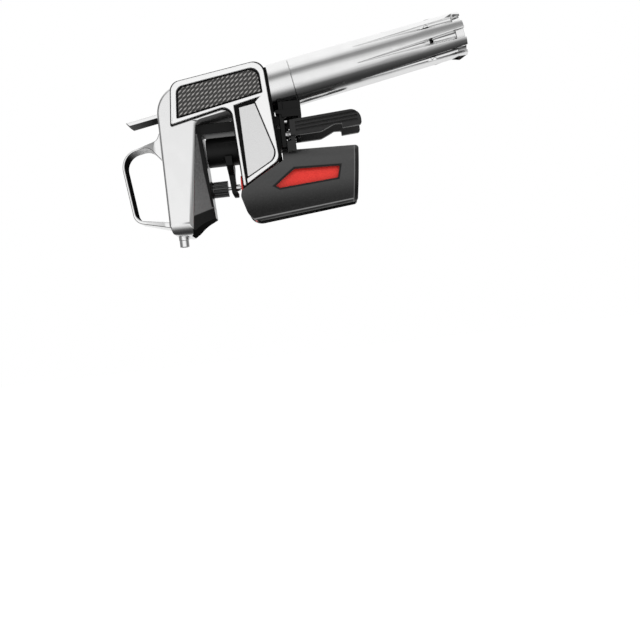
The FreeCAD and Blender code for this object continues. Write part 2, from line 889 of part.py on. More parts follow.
def make_casting():
    body = new_body("casting_block")
    block = slab(body, casting_outline(), S.casting_half * 2)
    doc.recompute()
    edges = body.newObject("PartDesign::Fillet", "casting_edges")
    edges.Base = (block, outer_arm_edges(block.Shape))
    bind(edges, Radius=S.casting_edge)
    doc.recompute()
    arm_room = [
        (CAVITY_LEFT, S.cavity_low_z),
        (S.cover_right_low_x, S.cavity_low_z),
        (S.cover_right_low_x, S.cavity_high_z),
        (CAVITY_LEFT, S.cavity_high_z),
    ]
    slab(body, arm_room, (S.casting_half - S.casting_wall) * 2, cut=True)
    beyond = S.frame_low_right_x + S.end_plate_thick * 2
    rail_room = [
        (CAVITY_LEFT, S.cavity_high_z - S.rail_fit),
        (beyond, S.cavity_high_z - S.rail_fit),
        (beyond, RAIL_CUT_TOP),
        (CAVITY_LEFT, RAIL_CUT_TOP),
    ]
    slab(body, rail_room, (S.rail_half + S.rail_fit) * 2, cut=True)
    fork_room = [
        (S.cover_right_low_x, S.foot_right_z),
        (beyond, S.foot_right_z),
        (beyond, S.cavity_high_z),
        (S.cover_right_low_x, S.cavity_high_z),
    ]
    slab(body, fork_room, S.fork_gap_half * 2, cut=True)
    trigger_room = [
        (CAVITY_LEFT, S.trigger_room_low_z - S.casting_wall),
        (S.trigger_room_right_x, S.trigger_room_low_z - S.casting_wall),
        (S.trigger_room_right_x, S.trigger_room_top_z),
        (CAVITY_LEFT + S.casting_wall * 1.5, S.trigger_room_top_z),
        (CAVITY_LEFT, S.trigger_room_top_z - S.casting_wall * 1.5),
    ]
    slab(body, trigger_room, S.trigger_room_half * 2, cut=True)
    trigger_slot = [
        (S.arm_left - S.casting_wall, S.trigger_slot_low_z),
        (S.trigger_room_right_x, S.trigger_slot_low_z),
        (S.trigger_room_right_x, S.trigger_slot_top_z),
        (S.arm_left - S.casting_wall, S.trigger_slot_top_z),
    ]
    slab(body, trigger_slot, S.trigger_room_half * 2, cut=True)
    wide = S.regulator_radius + S.regulator_fit
    narrow = S.regulator_tube + S.regulator_fit
    stem_room = S.stem_radius + S.piston_fit * 4
    bore = turned("regulator_room", [
        (S.stem_left - 1, 0),
        (S.seam_gap, 0),
        (S.seam_gap, wide),
        (S.regulator_step - S.regulator_fit, wide),
        (S.regulator_step - S.regulator_fit, narrow),
        (S.regulator_left - S.regulator_fit, narrow),
        (S.regulator_left - S.regulator_fit, stem_room),
        (S.stem_left - 1, stem_room),
    ])
    on_cup_axis(bore)
    port_x = S.gas_tube_x
    port_z = cup_spot((port_x - S.seam_x) / cosine(S.cup_tilt))[1]
    pivot_x, pivot_z = cup_spot(S.trigger_pivot_along, S.trigger_pivot_up)
    bevels = [along_joint(f"{side_name}_bevel", [
        (-S.bevel_width, S.casting_half * side),
        (S.bevel_width, (S.casting_half - S.bevel_depth * 2) * side),
        (S.bevel_width, (S.casting_half + S.bevel_depth) * side),
        (-S.bevel_width, (S.casting_half + S.bevel_depth) * side),
    ]) for side_name, side in SIDES]
    tools = [
        bore,
        *bevels,
        rod("neck_room", S.neck_space_radius, "X", S.neck_space_start, beyond),
        rod("spout_hole", S.spout_radius, "Z", S.foot_right_z * 2, S.cavity_low_z + 1, x=S.spout_x),
        rod("shoulder_hole", S.spout_shoulder, "Z", S.foot_right_z * 2, S.shoulder_top_z, x=S.spout_x),
        rod("gas_hole", S.gas_tube_radius, "Z", S.cavity_high_z - 1, S.gas_tube_top_z,
            x=S.gas_tube_x, y=S.gas_tube_y),
        rod("gas_port", S.gas_tube_bore, "Y", 0, S.gas_tube_y, x=port_x, z=port_z),
        rod("pivot_hole", S.trigger_pin_radius, "Y", S.trigger_pin_left, S.casting_half * 2,
            x=pivot_x, z=pivot_z),
    ]
    for y, z in LOOP_SCREWS:
        tools.append(rod("loop_screw_hole", S.screw_radius, "X", S.arm_left - 1, CAVITY_LEFT + 1, y=y, z=z))
    for spot in (S.block_screw_left_y, S.block_screw_right_y):
        tools.append(rod("block_screw_hole", S.screw_radius, "X", BLOCK_LEFT - S.block_screw_reach,
                         BLOCK_LEFT + 1, y=spot, z=S.block_screw_z))
    node(common("casting", cut("casting_cut", body, *tools), rounded_foot("casting_foot")), "body_casting")


def make_end_plate():
    low, high = HEAD_EDGE[3], HEAD_EDGE[4]
    lean = (high[0] - low[0]) / (high[1] - low[1])
    low_x = low[0] + (S.end_plate_low_z - low[1]) * lean
    high_x = low[0] + (S.end_plate_top_z - low[1]) * lean
    body = new_body("end_plate_blank")
    outline = [
        (low_x, S.end_plate_low_z),
        (low_x + S.end_plate_thick, S.end_plate_low_z),
        (high_x + S.end_plate_thick, S.end_plate_top_z),
        (high_x, S.end_plate_top_z),
    ]
    slab(body, outline, (S.casting_half - S.end_plate_inset) * 2)
    bore = cup_rod("end_plate_bore", S.regulator_radius + S.regulator_fit, S.regulator_step, S.seam_gap)
    passage = box("end_plate_passage", S.arm_left, S.bracket_right_x, -S.end_plate_gap_half,
                  S.end_plate_gap_half, S.foot_right_z, RAIL_CUT_TOP)
    neck = rod("end_plate_neck", S.neck_space_radius, "X", S.neck_space_start, S.bracket_right_x)
    jaw_room = cone("end_plate_jaw_room", S.jaw_left_radius + S.rail_fit, S.jaw_right_radius + S.rail_fit)
    node(cut("end_plate", body, bore, passage, neck, jaw_room), "head_end_plate")


def end_face_x(z):
    """The outer face of the end plate at the height z."""
    low, high = HEAD_EDGE[3], HEAD_EDGE[4]
    lean = (high[0] - low[0]) / (high[1] - low[1])
    return low[0] + (z - low[1]) * lean + S.end_plate_thick


# ---- Arm cover, finger loop and spout ----------------------------------------------------------

COVER_HALF_LEFT = S.casting_half - S.bevel_depth

def joint_x(z):
    """Where the line between casting and cover lies at the height z."""
    slope = (JOINT_HIGH[0] - JOINT_LOW[0]) / (JOINT_HIGH[1] - JOINT_LOW[1])
    return JOINT_LOW[0] + (z - JOINT_LOW[1]) * slope


def make_arm_cover():
    run, rise = JOINT_HIGH[0] - JOINT_LOW[0], JOINT_HIGH[1] - JOINT_LOW[1]
    long = root(run * run + rise * rise)
    side_x = S.cover_right_low_x - JOINT_LOW[0]
    side_z = S.cover_right_low_z - JOINT_LOW[1]
    reach = side_x * rise / long - side_z * run / long

    def wedge(name, left_x, right_x, left_half, right_half):
        """A prism along the joint line whose sides slant in towards the needle."""
        corners = [(left_x, -left_half), (right_x, -right_half), (right_x, right_half), (left_x, left_half)]
        return along_joint(name, corners, S.casting_half, S.casting_half)

    outline = [
        (JOINT_LOW[0] + S.cover_gap, JOINT_LOW[1]),
        (S.cover_arch_x, S.cover_arch_z, S.cover_arch_round),
        (S.cover_right_low_x, S.cover_right_low_z),
        (S.cover_right_high_x, S.cover_top_z),
        (joint_x(S.cover_top_z) + S.cover_gap, S.cover_top_z),
    ]
    shell = new_body("cover_outline")
    slab(shell, outline, S.casting_half * 2)
    inner = inset(outline, S.cover_wall)
    room = [
        (inner[0][0] - S.cover_wall * 3, inner[1][1]),
        (inner[1][0], inner[1][1]),
        (inner[2][0], inner[2][1]),
        (inner[3][0], inner[3][1]),
        (inner[4][0] - S.cover_wall * 3, inner[4][1]),
    ]
    hollow = new_body("cover_room")
    slab(hollow, room, S.casting_half * 2)
    outside = wedge("cover_wedge", 0, reach, COVER_HALF_LEFT, S.cover_half_right)
    solid = common("cover_solid", shell, outside)
    lean = (COVER_HALF_LEFT - S.cover_half_right) / reach
    side_wall = S.cover_wall * root(lean * lean + 1)

    def room_half(across):
        """Half the room's width at a distance from the joint line."""
        return COVER_HALF_LEFT - side_wall - lean * across

    near, far = -S.cover_wall * 3, reach - S.cover_wall
    inside = wedge("cover_inner_wedge", near, far, room_half(near), room_half(far))
    eye = rod("cover_eye", S.cover_eye_radius, "X", S.block_right, S.hub_right)
    bored = cut("cover_cut", solid, common("cover_hollow", hollow, inside), eye)
    node(common("cover", bored, rounded_foot("cover_foot")), "arm_cover")


LOOP_SCREWS = [(as_size(0), S.loop_screw_top_z), (-S.loop_screw_low_y, S.loop_screw_low_z),
               (S.loop_screw_low_y, S.loop_screw_low_z)]


def make_finger_loop():
    body = new_body("loop")
    outline = [
        (S.arm_left, S.loop_top_z),
        (S.loop_flare_x, S.loop_flare_z, S.loop_flare_round),
        (S.loop_left_x, S.loop_left_z, S.loop_big_round),
        (S.loop_low_x, S.loop_low_z, S.loop_low_round),
        (S.arm_left, S.loop_end_z),
        (S.arm_left, S.hole_end_z),
        (S.hole_low_x, S.hole_low_z, S.hole_low_round),
        (S.hole_left_x, S.hole_left_z, S.hole_big_round),
        (S.hole_crown_x, S.hole_crown_z, S.hole_crown_round),
        (S.arm_left, S.hole_top_z),
    ]
    slab(body, outline, S.loop_root_half * 2)
    for side in (-1, 1):
        sketch = new_sketch(body, "XY_Plane", S.loop_top_z)
        corners = [
            (S.loop_left_x - S.loop_half, S.loop_half * side),
            (S.loop_root_x, S.loop_half * side),
            (S.loop_pad_x, (S.loop_root_half + 1) * side),
            (S.loop_left_x - S.loop_half, (S.loop_root_half + 1) * side),
        ]
        draw_outline(sketch, corners)
        extrude(body, "Pocket", sketch, (S.loop_top_z - S.loop_end_z) * 4)
    holes = [rod("loop_hole", S.screw_radius, "X", CAVITY_LEFT - S.loop_screw_reach, S.arm_left + 1,
                 y=y, z=z) for y, z in LOOP_SCREWS]
    node(cut("loop_drilled", body, *holes), "finger_loop")


def make_spout():
    tube = rod("spout_outer", S.spout_radius, "Z", S.spout_low_z, S.spout_top_z, x=S.spout_x)
    bore = rod("spout_inner", S.spout_bore, "Z", S.spout_low_z - 1, S.spout_top_z + 1, x=S.spout_x)
    shoulder = rod("spout_shoulder", S.spout_shoulder, "Z", S.shoulder_low_z, S.shoulder_top_z, x=S.spout_x)
    node(cut("spout", fused("spout_body", tube, shoulder), bore), "spout_tube")


# ---- Collar, cup and capsule -------------------------------------------------------------------

# The cup clears the capsule, the collar's spigot clears the cup's bore, and the walls follow.
CUP_BORE = S.capsule_radius + S.capsule_room
CUP_END_RADIUS = CUP_BORE + S.cup_end_wall
CAP_RADIUS = CUP_BORE + S.cap_over
COLLAR_BORE = CUP_BORE + S.spigot_clear
SPIGOT_RADIUS = COLLAR_BORE + S.spigot_wall
COLLAR_RADIUS = SPIGOT_RADIUS + S.thread_gap + S.mouth_wall
NUT_RADIUS = COLLAR_BORE - S.nut_room


def make_collar():
    ring = turned("collar_ring", [
        (S.collar_left, S.regulator_radius + S.regulator_fit),
        (S.collar_web_left, S.regulator_radius + S.regulator_fit),
        (S.collar_web_left, COLLAR_BORE),
        (S.spigot_reach, COLLAR_BORE),
        (S.spigot_reach, SPIGOT_RADIUS),
        (-S.seam_gap, SPIGOT_RADIUS),
        (-S.seam_gap, COLLAR_RADIUS),
        (S.collar_left, COLLAR_RADIUS),
    ])
    on_cup_axis(ring)
    slope_cut = new_body("collar_slope")
    low, high = S.seam_z - COLLAR_RADIUS * 2, S.seam_z + COLLAR_RADIUS * 2
    slab(slope_cut, [(S.arm_left, low), (end_face_x(low), low), (end_face_x(high), high),
                     (S.arm_left, high)], COLLAR_RADIUS * 4)
    node(cut("collar_cut", ring, slope_cut), "collar")


def cup_radius(along):
    """The cup's outer radius at a distance from the seam."""
    return COLLAR_RADIUS + (CUP_END_RADIUS - COLLAR_RADIUS) * (as_size(along) / S.cup_end)


def make_cup():
    mouth = SPIGOT_RADIUS + S.thread_gap
    mouth_end = S.spigot_reach + S.seam_gap * 4
    body = turned("cup", [
        (S.seam_gap, mouth),
        (mouth_end, mouth),
        (mouth_end, CUP_BORE),
        (S.cup_bore_end, CUP_BORE),
        (S.cup_seat, S.cup_seat_radius),
        (S.cup_seat, 0),
        (S.cup_floor, 0),
        (S.cup_floor, CAP_RADIUS + S.cap_bore_gap),
        (S.cup_end, CAP_RADIUS + S.cap_bore_gap),
        (S.cup_end, CUP_END_RADIUS),
        (S.seam_gap, COLLAR_RADIUS),
    ])
    doc.recompute()
    finish = S.cup_end + 1
    long = finish - S.flute_start
    near, far = cup_radius(S.flute_start), cup_radius(finish) + S.flute_lift
    across, down = cosine(S.flute_angle), sine(S.flute_angle)
    start = new_sketch(body, "YZ_Plane", S.flute_start)
    draw_circle(start, -near * across, -near * down, S.flute_point)
    flute = body.newObject("PartDesign::SubtractiveCone", "flute")
    flute.AttachmentSupport = start.AttachmentSupport
    flute.MapMode = "FlatFace"
    flute.AttachmentOffset.Rotation = FreeCAD.Rotation(FreeCAD.Vector(down.value, -across.value, 0), 1)
    bind(flute, Radius1=S.flute_point, Radius2=S.flute_radius, Height=long)
    for name, size in (("Base.x", -near * across), ("Base.y", -near * down), ("Base.z", S.flute_start),
                       ("Rotation.Angle", arctangent((far - near) / long) * -1)):
        turn = " * 1deg" if "Angle" in name else ""
        flute.setExpression("AttachmentOffset." + name, size.text + turn)
    doc.recompute()
    pattern = body.newObject("PartDesign::PolarPattern", "flutes")
    pattern.Originals = [flute]
    pattern.Axis = (start, ["N_Axis"])
    pattern.Angle = 360
    pattern.setExpression("Occurrences", S.flute_count.text)
    body.Tip = pattern
    node(on_cup_axis(body), "capsule_cup")
    cap_face = S.cup_end - S.cap_sink
    cap = turned("cap", [(S.cup_floor, 0), (cap_face, 0), (cap_face, CAP_RADIUS),
                         (S.cup_floor, CAP_RADIUS)])
    node(on_cup_axis(cap), "cup_end_cap")


def make_capsule():
    wall = S.capsule_wall
    body = turned("capsule", [
        (S.capsule_front, S.capsule_mouth_radius),
        (S.capsule_neck_end, S.capsule_mouth_radius),
        (S.capsule_body_start + wall, S.capsule_radius - wall),
        (S.capsule_body_end, S.capsule_radius - wall),
        (S.capsule_end - wall, S.cup_seat_radius - wall * 2),
        (S.capsule_end - wall, 0),
        (S.capsule_end, 0),
        (S.capsule_end, S.cup_seat_radius - wall),
        (S.capsule_body_end + wall, S.capsule_radius),
        (S.capsule_body_start, S.capsule_radius),
        (S.capsule_neck_end, S.capsule_neck_radius),
        (S.capsule_front, S.capsule_neck_radius),
    ])
    node(on_cup_axis(body), "gas_capsule")
    pin = turned("pierce", ring_profile(S.pierce_left, S.pierce_right, S.pierce_bore, S.pierce_radius))
    node(on_cup_axis(pin), "pierce_pin")
    seal = turned("seal", ring_profile(S.nose_right, S.capsule_front, S.pierce_radius + S.regulator_fit,
                                       S.seal_radius))
    node(on_cup_axis(seal), "capsule_seal")
    nut = turned("nut", ring_profile(S.collar_web_left, S.collar_web_left + S.nut_thick,
                                     S.regulator_radius + S.regulator_fit / 2, NUT_RADIUS))
    node(on_cup_axis(nut), "collar_nut")


# ---- Regulator and valve -----------------------------------------------------------------------

def make_regulator():
    stem_bore = S.stem_radius + S.stem_fit
    body = turned("regulator", [
        (S.regulator_left, stem_bore),
        (S.valve_chamber_left, stem_bore),
        (S.valve_chamber_left, S.valve_chamber_radius),
        (S.valve_chamber_right, S.valve_chamber_radius),
        (S.valve_chamber_right, S.valve_port_radius),
        (S.regulator_bore_left, S.valve_port_radius),
        (S.regulator_bore_left, S.regulator_bore),
        (S.regulator_right, S.regulator_bore),
        (S.regulator_right, S.regulator_radius),
        (S.regulator_step, S.regulator_radius),
        (S.regulator_step, S.regulator_tube),
        (S.regulator_left, S.regulator_tube),
    ])
    node(on_cup_axis(body), "regulator_body")
    nose = turned("nose", [
        (S.nose_left, S.pierce_radius),
        (S.nose_right, S.pierce_radius),
        (S.nose_right, S.regulator_radius),
        (S.regulator_right, S.regulator_radius),
        (S.regulator_right, S.regulator_bore - S.piston_fit),
        (S.nose_left, S.regulator_bore - S.piston_fit),
    ])
    node(on_cup_axis(nose), "regulator_nose")
    piston_right = S.piston_left + S.piston_thick
    piston = turned("piston", [(S.piston_left, 0), (piston_right, 0),
                               (piston_right, S.regulator_bore - S.piston_fit),
                               (S.piston_left, S.regulator_bore - S.piston_fit)])
    node(on_cup_axis(piston), "regulator_piston")
    spring = coil("regulator_coil", S.regulator_spring_radius, S.regulator_spring_wire,
                  piston_right, S.nose_left, 5)
    node(on_cup_axis(spring), "regulator_spring")
    head_left = S.valve_chamber_left + S.stem_head_gap
    head_right = head_left + S.stem_head_thick
    stem = turned("stem", [(S.stem_left, 0), (head_right, 0), (head_right, S.stem_head_radius),
                           (head_left, S.stem_head_radius), (head_left, S.stem_radius),
                           (S.stem_left, S.stem_radius)])
    node(on_cup_axis(stem), "valve_stem")
    spring = coil("valve_coil", S.valve_spring_radius, S.valve_spring_wire, head_right,
                  S.valve_chamber_right, 4)
    node(on_cup_axis(spring), "valve_spring")


def make_trigger():
    body = new_body("trigger_lever")
    heel_right = S.stem_left - S.trigger_nose_gap
    outline = [
        (S.trigger_tip_low, S.trigger_low),
        (S.trigger_heel_left, S.trigger_low),
        (S.trigger_heel_left, S.trigger_heel_low),
        (heel_right, S.trigger_heel_low),
        (heel_right, S.trigger_heel_top),
        (S.trigger_heel_left, S.trigger_heel_top),
        (S.trigger_heel_left, S.trigger_top),
        (S.trigger_tip, S.trigger_top),
    ]
    slab(body, outline, S.trigger_half * 2)
    sketch = new_sketch(body, "XZ_Plane")
    draw_circle(sketch, S.trigger_pivot_along, S.trigger_pivot_up, S.trigger_pin_radius + S.pin_fit)
    extrude(body, "Pocket", sketch, S.trigger_half * 4)
    node(on_cup_axis(body), "trigger")
    x, z = cup_spot(S.trigger_pivot_along, S.trigger_pivot_up)
    node(rod("trigger_pivot", S.trigger_pin_radius, "Y", S.trigger_pin_left, S.casting_half, x=x, z=z),
         "trigger_pin")


# ---- Needle, hub and manifold ------------------------------------------------------------------

BLOCK_LEFT = S.spout_x - S.spout_radius - S.block_wall

NEEDLE_FIT = S.pin_fit / 3


def make_needle():
    point = S.needle_tip - S.needle_point
    tube = turned("needle_tube", [
        (S.needle_left, S.needle_bore),
        (point, S.needle_bore),
        (point, 0),
        (S.needle_tip, 0),
        (point, S.needle_radius),
        (S.needle_left, S.needle_radius),
    ])
    port = rod("needle_port", S.needle_bore, "Z", 0, S.needle_radius * 2, x=point - S.needle_radius * 2)
    node(cut("needle_drilled", tube, port), "needle")
    bore = S.needle_radius + NEEDLE_FIT
    hub = turned("hub", [
        (S.needle_left, bore),
        (S.hub_right, bore),
        (S.hub_right, S.hub_radius),
        (S.hub_left, S.hub_radius),
        (S.hub_left, S.hub_thread_radius),
        (S.needle_left, S.hub_thread_radius),
    ])
    doc.recompute()
    sketch = new_sketch(hub, "YZ_Plane", S.hub_left + S.hub_rib_width)
    draw_circle(sketch, 0, S.hub_radius + S.hub_rib_width / 2 - S.hub_rib_depth, S.hub_rib_width / 2)
    rib = extrude(hub, "Pocket", sketch, (S.hub_right - S.hub_left) * 2, symmetric=False, reverse=True)
    doc.recompute()
    pattern = hub.newObject("PartDesign::PolarPattern", "hub_ribs")
    pattern.Originals = [rib]
    pattern.Axis = (sketch, ["N_Axis"])
    pattern.Angle = 360
    pattern.setExpression("Occurrences", S.hub_rib_count.text)
    hub.Tip = pattern
    node(hub, "needle_hub")
    node(turned("hub_washer", ring_profile(S.hub_left - S.hub_seal_thick, S.hub_left,
                                           S.hub_thread_radius + S.pin_fit, S.hub_seal_radius)), "hub_seal")


def make_block():
    core = box("block_core", BLOCK_LEFT, S.block_right, S.block_left_y, S.block_right_y,
               -S.block_half_z, S.block_half_z)
    nose = rod("block_nose", S.block_nose_radius, "X", S.block_right - 1, S.block_nose_right)
    tools = [
        rod("block_thread", S.hub_thread_radius + NEEDLE_FIT, "X", S.needle_left, 0),
        rod("block_channel", S.spout_bore / 2, "X", S.spout_x, S.needle_left + 1),
        rod("block_spout", S.spout_radius, "Z", -S.block_half_z - 1, S.spout_top_z, x=S.spout_x),
        rod("block_well", S.spout_bore, "Z", S.spout_top_z - 1, S.spout_bore / 2, x=S.spout_x),
        rod("block_gas", S.gas_tube_radius, "Z", S.gas_tube_low_z, S.block_half_z + 1,
            x=S.gas_tube_x, y=S.gas_tube_y),
        rod("block_gas_port", S.gas_tube_bore, "Z", 0, S.gas_tube_low_z + 1,
            x=S.gas_tube_x, y=S.gas_tube_y),
        rod("block_gas_cross", S.gas_tube_bore, "Y", 0, S.gas_tube_y, x=S.gas_tube_x),
    ]
    screws = []
    for spot in (S.block_screw_left_y, S.block_screw_right_y):
        tools.append(rod("block_hole", S.screw_radius, "X", BLOCK_LEFT - 1, S.block_right + 1,
                         y=spot, z=S.block_screw_z))
        screws.append(screw("block_screw", S.block_right, S.block_right - BLOCK_LEFT + S.block_screw_reach,
                            spot, S.block_screw_z))
    node(cut("manifold", fused("block_body", core, nose), *tools), "needle_block")
    node(fused("block_screw_pair", *screws), "block_screws")
    gas = rod("gas_outer", S.gas_tube_radius, "Z", S.gas_tube_low_z, S.gas_tube_top_z,
              x=S.gas_tube_x, y=S.gas_tube_y)
    gas_bore = rod("gas_inner", S.gas_tube_bore, "Z", S.gas_tube_low_z - 1, S.gas_tube_top_z + 1,
                   x=S.gas_tube_x, y=S.gas_tube_y)
    node(cut("gas", gas, gas_bore), "gas_tube")
    trio = [screw("loop_screw", CAVITY_LEFT, S.loop_screw_reach, y, z) for y, z in LOOP_SCREWS]
    node(fused("loop_screw_trio", *trio), "loop_screws")


# ---- Clamp carriage, rail and needle guide -----------------------------------------------------

WALL_RIGHT = S.wall_left_x + S.wall_thick
LUG_LEFT = S.ear_right_x + S.rail_fit


def make_carriage():
    parts = [
        rod("spigot_round", S.spigot_size, "X", S.spigot_left_x, S.stop_right_x, z=S.spigot_z),
        box("spine", S.stop_left_x, S.wall_left_x + 1, -S.spine_half, S.spine_half,
            S.spine_low_z, S.spine_top_z),
        box("stop", S.stop_left_x, S.stop_right_x, -S.stop_half, S.stop_half, S.stop_low_z, S.spigot_z),
        box("wall", S.wall_left_x, WALL_RIGHT, -S.wall_half, S.wall_half, S.spine_low_z, S.bracket_top_z),
        box("bracket", S.wall_left_x, S.bracket_right_x, -S.bracket_half, S.bracket_half,
            S.bracket_low_z, S.bracket_step_z),
        box("bracket_top", S.wall_left_x, S.bracket_right_x, -S.bracket_top_half, S.bracket_top_half,
            S.bracket_low_z, S.bracket_top_z),
        box("bracket_lip", S.bracket_left_x, S.wall_left_x + 1, -S.bracket_half, S.bracket_half,
            RAIL_CUT_TOP, S.bracket_step_z),
        box("web", WALL_RIGHT - 1, S.ear_right_x, -S.web_half, S.web_half, S.spine_low_z,
            S.bracket_low_z + 1),
    ]
    tools = [
        cup_rod("saddle", COLLAR_RADIUS + S.saddle_gap, -COLLAR_RADIUS * 2, COLLAR_RADIUS * 2),
        rod("spigot_hollow", S.spigot_hollow, "X", S.spigot_left_x - 1, S.stop_left_x, z=S.spigot_z),
        rod("grommet_hole", S.grommet_waist, "X", S.stop_left_x - 1, S.stop_right_x + 1),
    ]
    for name, side in SIDES:
        inner, outer = S.lug_inner * side, S.lug_outer * side
        near, far = (inner, outer) if side > 0 else (outer, inner)
        outside, inside = S.bracket_half * side, (S.bracket_half - S.skirt_thick) * side
        skirt = (inside, outside) if side > 0 else (outside, inside)
        parts.append(box(name + "_skirt", WALL_RIGHT - 1, S.bracket_right_x, *skirt, S.skirt_low_z,
                         S.bracket_low_z + 1))
        parts.append(box(name + "_lug", LUG_LEFT, LUG_LEFT + S.lug_thick, near, far,
                         S.pivot_z, S.bracket_low_z + 1))
        parts.append(rod(name + "_lug_eye", S.lug_radius, "X", LUG_LEFT, LUG_LEFT + S.lug_thick,
                         y=S.pivot_y * side, z=S.pivot_z))
        tools.append(rod(name + "_pin_hole", S.pin_radius, "X", S.wall_left_x, S.bracket_right_x + 1,
                         y=S.pivot_y * side, z=S.pivot_z))
    screws = []
    middle = (S.rail_low_z + S.rail_top_z) / 2
    for side in (-1, 1):
        y = S.rail_screw_y * side
        tools.append(rod("rail_hole", S.screw_radius, "X", S.wall_left_x - 1, WALL_RIGHT + 1,
                         y=y, z=middle))
        screws.append(screw("rail_screw", WALL_RIGHT, S.rail_screw_reach, y, middle))
    node(cut("carriage", fused("carriage_body", *parts), *tools), "clamp_carriage")
    node(fused("rail_screw_pair", *screws), "rail_screws")
    bar = box("rail_bar", S.rail_left_x, S.wall_left_x, -S.rail_half, S.rail_half,
              S.rail_low_z, S.rail_top_z)
    holes = [rod("rail_tap", S.screw_radius, "X", WALL_RIGHT - S.rail_screw_reach, S.wall_left_x + 1,
                 y=S.rail_screw_y * side, z=middle) for side in (-1, 1)]
    node(cut("rail", bar, *holes), "guide_rail")


def make_grommet():
    body = turned("grommet", [
        (S.grommet_left_x, S.grommet_bore),
        (0, S.grommet_bore),
        (0, S.grommet_radius),
        (S.stop_right_x, S.grommet_radius),
        (S.stop_right_x, S.grommet_waist),
        (S.stop_left_x, S.grommet_waist),
        (S.stop_left_x, S.grommet_radius),
        (S.grommet_left_x, S.grommet_radius),
    ])
    node(body, "needle_grommet")


def make_guide():
    body = new_body("guide_plate")
    sketch = new_sketch(body, "YZ_Plane", S.guide_left_x)
    draw_outline(sketch, [
        (-S.guide_half, S.guide_top_z),
        (-S.guide_half, S.guide_taper_z),
        (-S.guide_neck_half, S.guide_neck_z),
        (-S.guide_neck_half, S.guide_toe_z, S.guide_end_round),
        (S.guide_neck_half, S.guide_toe_z, S.guide_end_round),
        (S.guide_neck_half, S.guide_neck_z),
        (S.guide_half, S.guide_taper_z),
        (S.guide_half, S.guide_top_z),
    ])
    extrude(body, "Pad", sketch, S.guide_toe_right_x - S.guide_left_x, symmetric=False)
    side = new_body("guide_side")
    slab(side, [
        (S.guide_left_x, S.guide_top_z),
        (S.guide_low_left_x, S.guide_low_left_z),
        (S.guide_toe_left_x, S.guide_toe_z),
        (S.guide_toe_right_x, S.guide_toe_z),
        (S.guide_toe_right_x, S.guide_toe_top_z),
        (S.guide_right_x, S.guide_heel_z),
        (S.guide_right_x, S.guide_top_z),
    ], S.guide_half * 2)
    seat = rod("guide_seat", S.spigot_size + S.saddle_gap / 10, "X", S.guide_left_x - 1, 0, z=S.spigot_z)
    hole = rod("guide_hole", S.bush_radius + S.bush_gap, "X", S.guide_left_x - 1, 0)
    node(cut("guide", common("guide_body", body, side), seat, hole), "needle_guide")
    bush = turned("bush", ring_profile(S.guide_low_left_x, S.bush_right_x, S.bush_bore, S.bush_radius))
    node(bush, "guide_bush")


# ---- Jaws --------------------------------------------------------------------------------------

def cone(name, left_radius, right_radius):
    """The cone that the jaws are cut from, or one inside it, longer than they are at each end."""
    length = S.jaw_right_x - S.jaw_left_x
    slope = (right_radius - left_radius) / length
    thing = doc.addObject("Part::Cone", name)
    bind(thing, Radius1=left_radius - slope * S.cone_spare, Radius2=right_radius + slope * S.cone_spare,
         Height=length + S.cone_spare * 2)
    rise = S.jaw_left_drop / length
    return place(thing, S.jaw_left_x - S.cone_spare, 0, -S.jaw_left_drop - rise * S.cone_spare,
                 (0, 1, 0), 90 - arctangent(rise))


JAW_EDGE = inset(FRAME, -S.jaw_gap)
JAW_OUTLINE = [
    (JAW_EDGE[2][0], JAW_EDGE[2][1]),
    (S.jaw_mouth_x, S.jaw_mouth_z, S.jaw_corner_round),
    (S.jaw_low_x, S.jaw_low_z, S.jaw_low_round),
    (S.jaw_end_low_x, S.jaw_low_right_z, S.jaw_rim_round),
    (S.jaw_end_top_x, S.jaw_top_right_z, S.jaw_rim_round),
    (S.jaw_top_left_x, S.jaw_top_z),
    line_crossing(JAW_EDGE[2], JAW_EDGE[3], (S.jaw_top_left_x, S.jaw_low_z),
                  (S.jaw_top_left_x, S.jaw_top_z)),
]
WINDOW = [
    (S.window_tip_x, S.window_tip_z, S.window_round / 2),
    (S.window_low_x, S.window_low_z, S.window_round),
    (S.window_right_x, S.window_right_z, S.window_round),
    (S.window_top_right_x, S.window_top_right_z, S.window_round),
    (S.window_top_x, S.window_top_z, S.window_round * 4),
]
SHELL_LEFT = S.jaw_left_radius - S.jaw_wall
SHELL_RIGHT = S.jaw_right_radius - S.jaw_rim_wall


def half_space(name, side):
    wide = S.jaw_left_radius * 2
    near, far = (S.jaw_seam, wide) if side > 0 else (-wide, -S.jaw_seam)
    return box(name + "_half", S.jaw_left_x * 2, S.jaw_right_x * 2, near, far, -wide, wide)


def lever_outline():
    return [
        (S.knuckle_left_x, S.lever_low_z),
        (S.lever_dip_x, S.lever_dip_z, S.lever_end_round),
        (S.lever_notch_x, S.lever_notch_z, S.window_round),
        (S.lever_hook_x, S.lever_notch_z - S.window_round / 4),
        (S.lever_hook_x, S.lever_hook_z),
        (S.lever_end_x, S.lever_end_low_z, S.window_round * 2),
        (S.lever_end_x, S.lever_end_top_z, S.lever_end_round),
        (S.knuckle_left_x, S.lever_root_top_z),
    ]


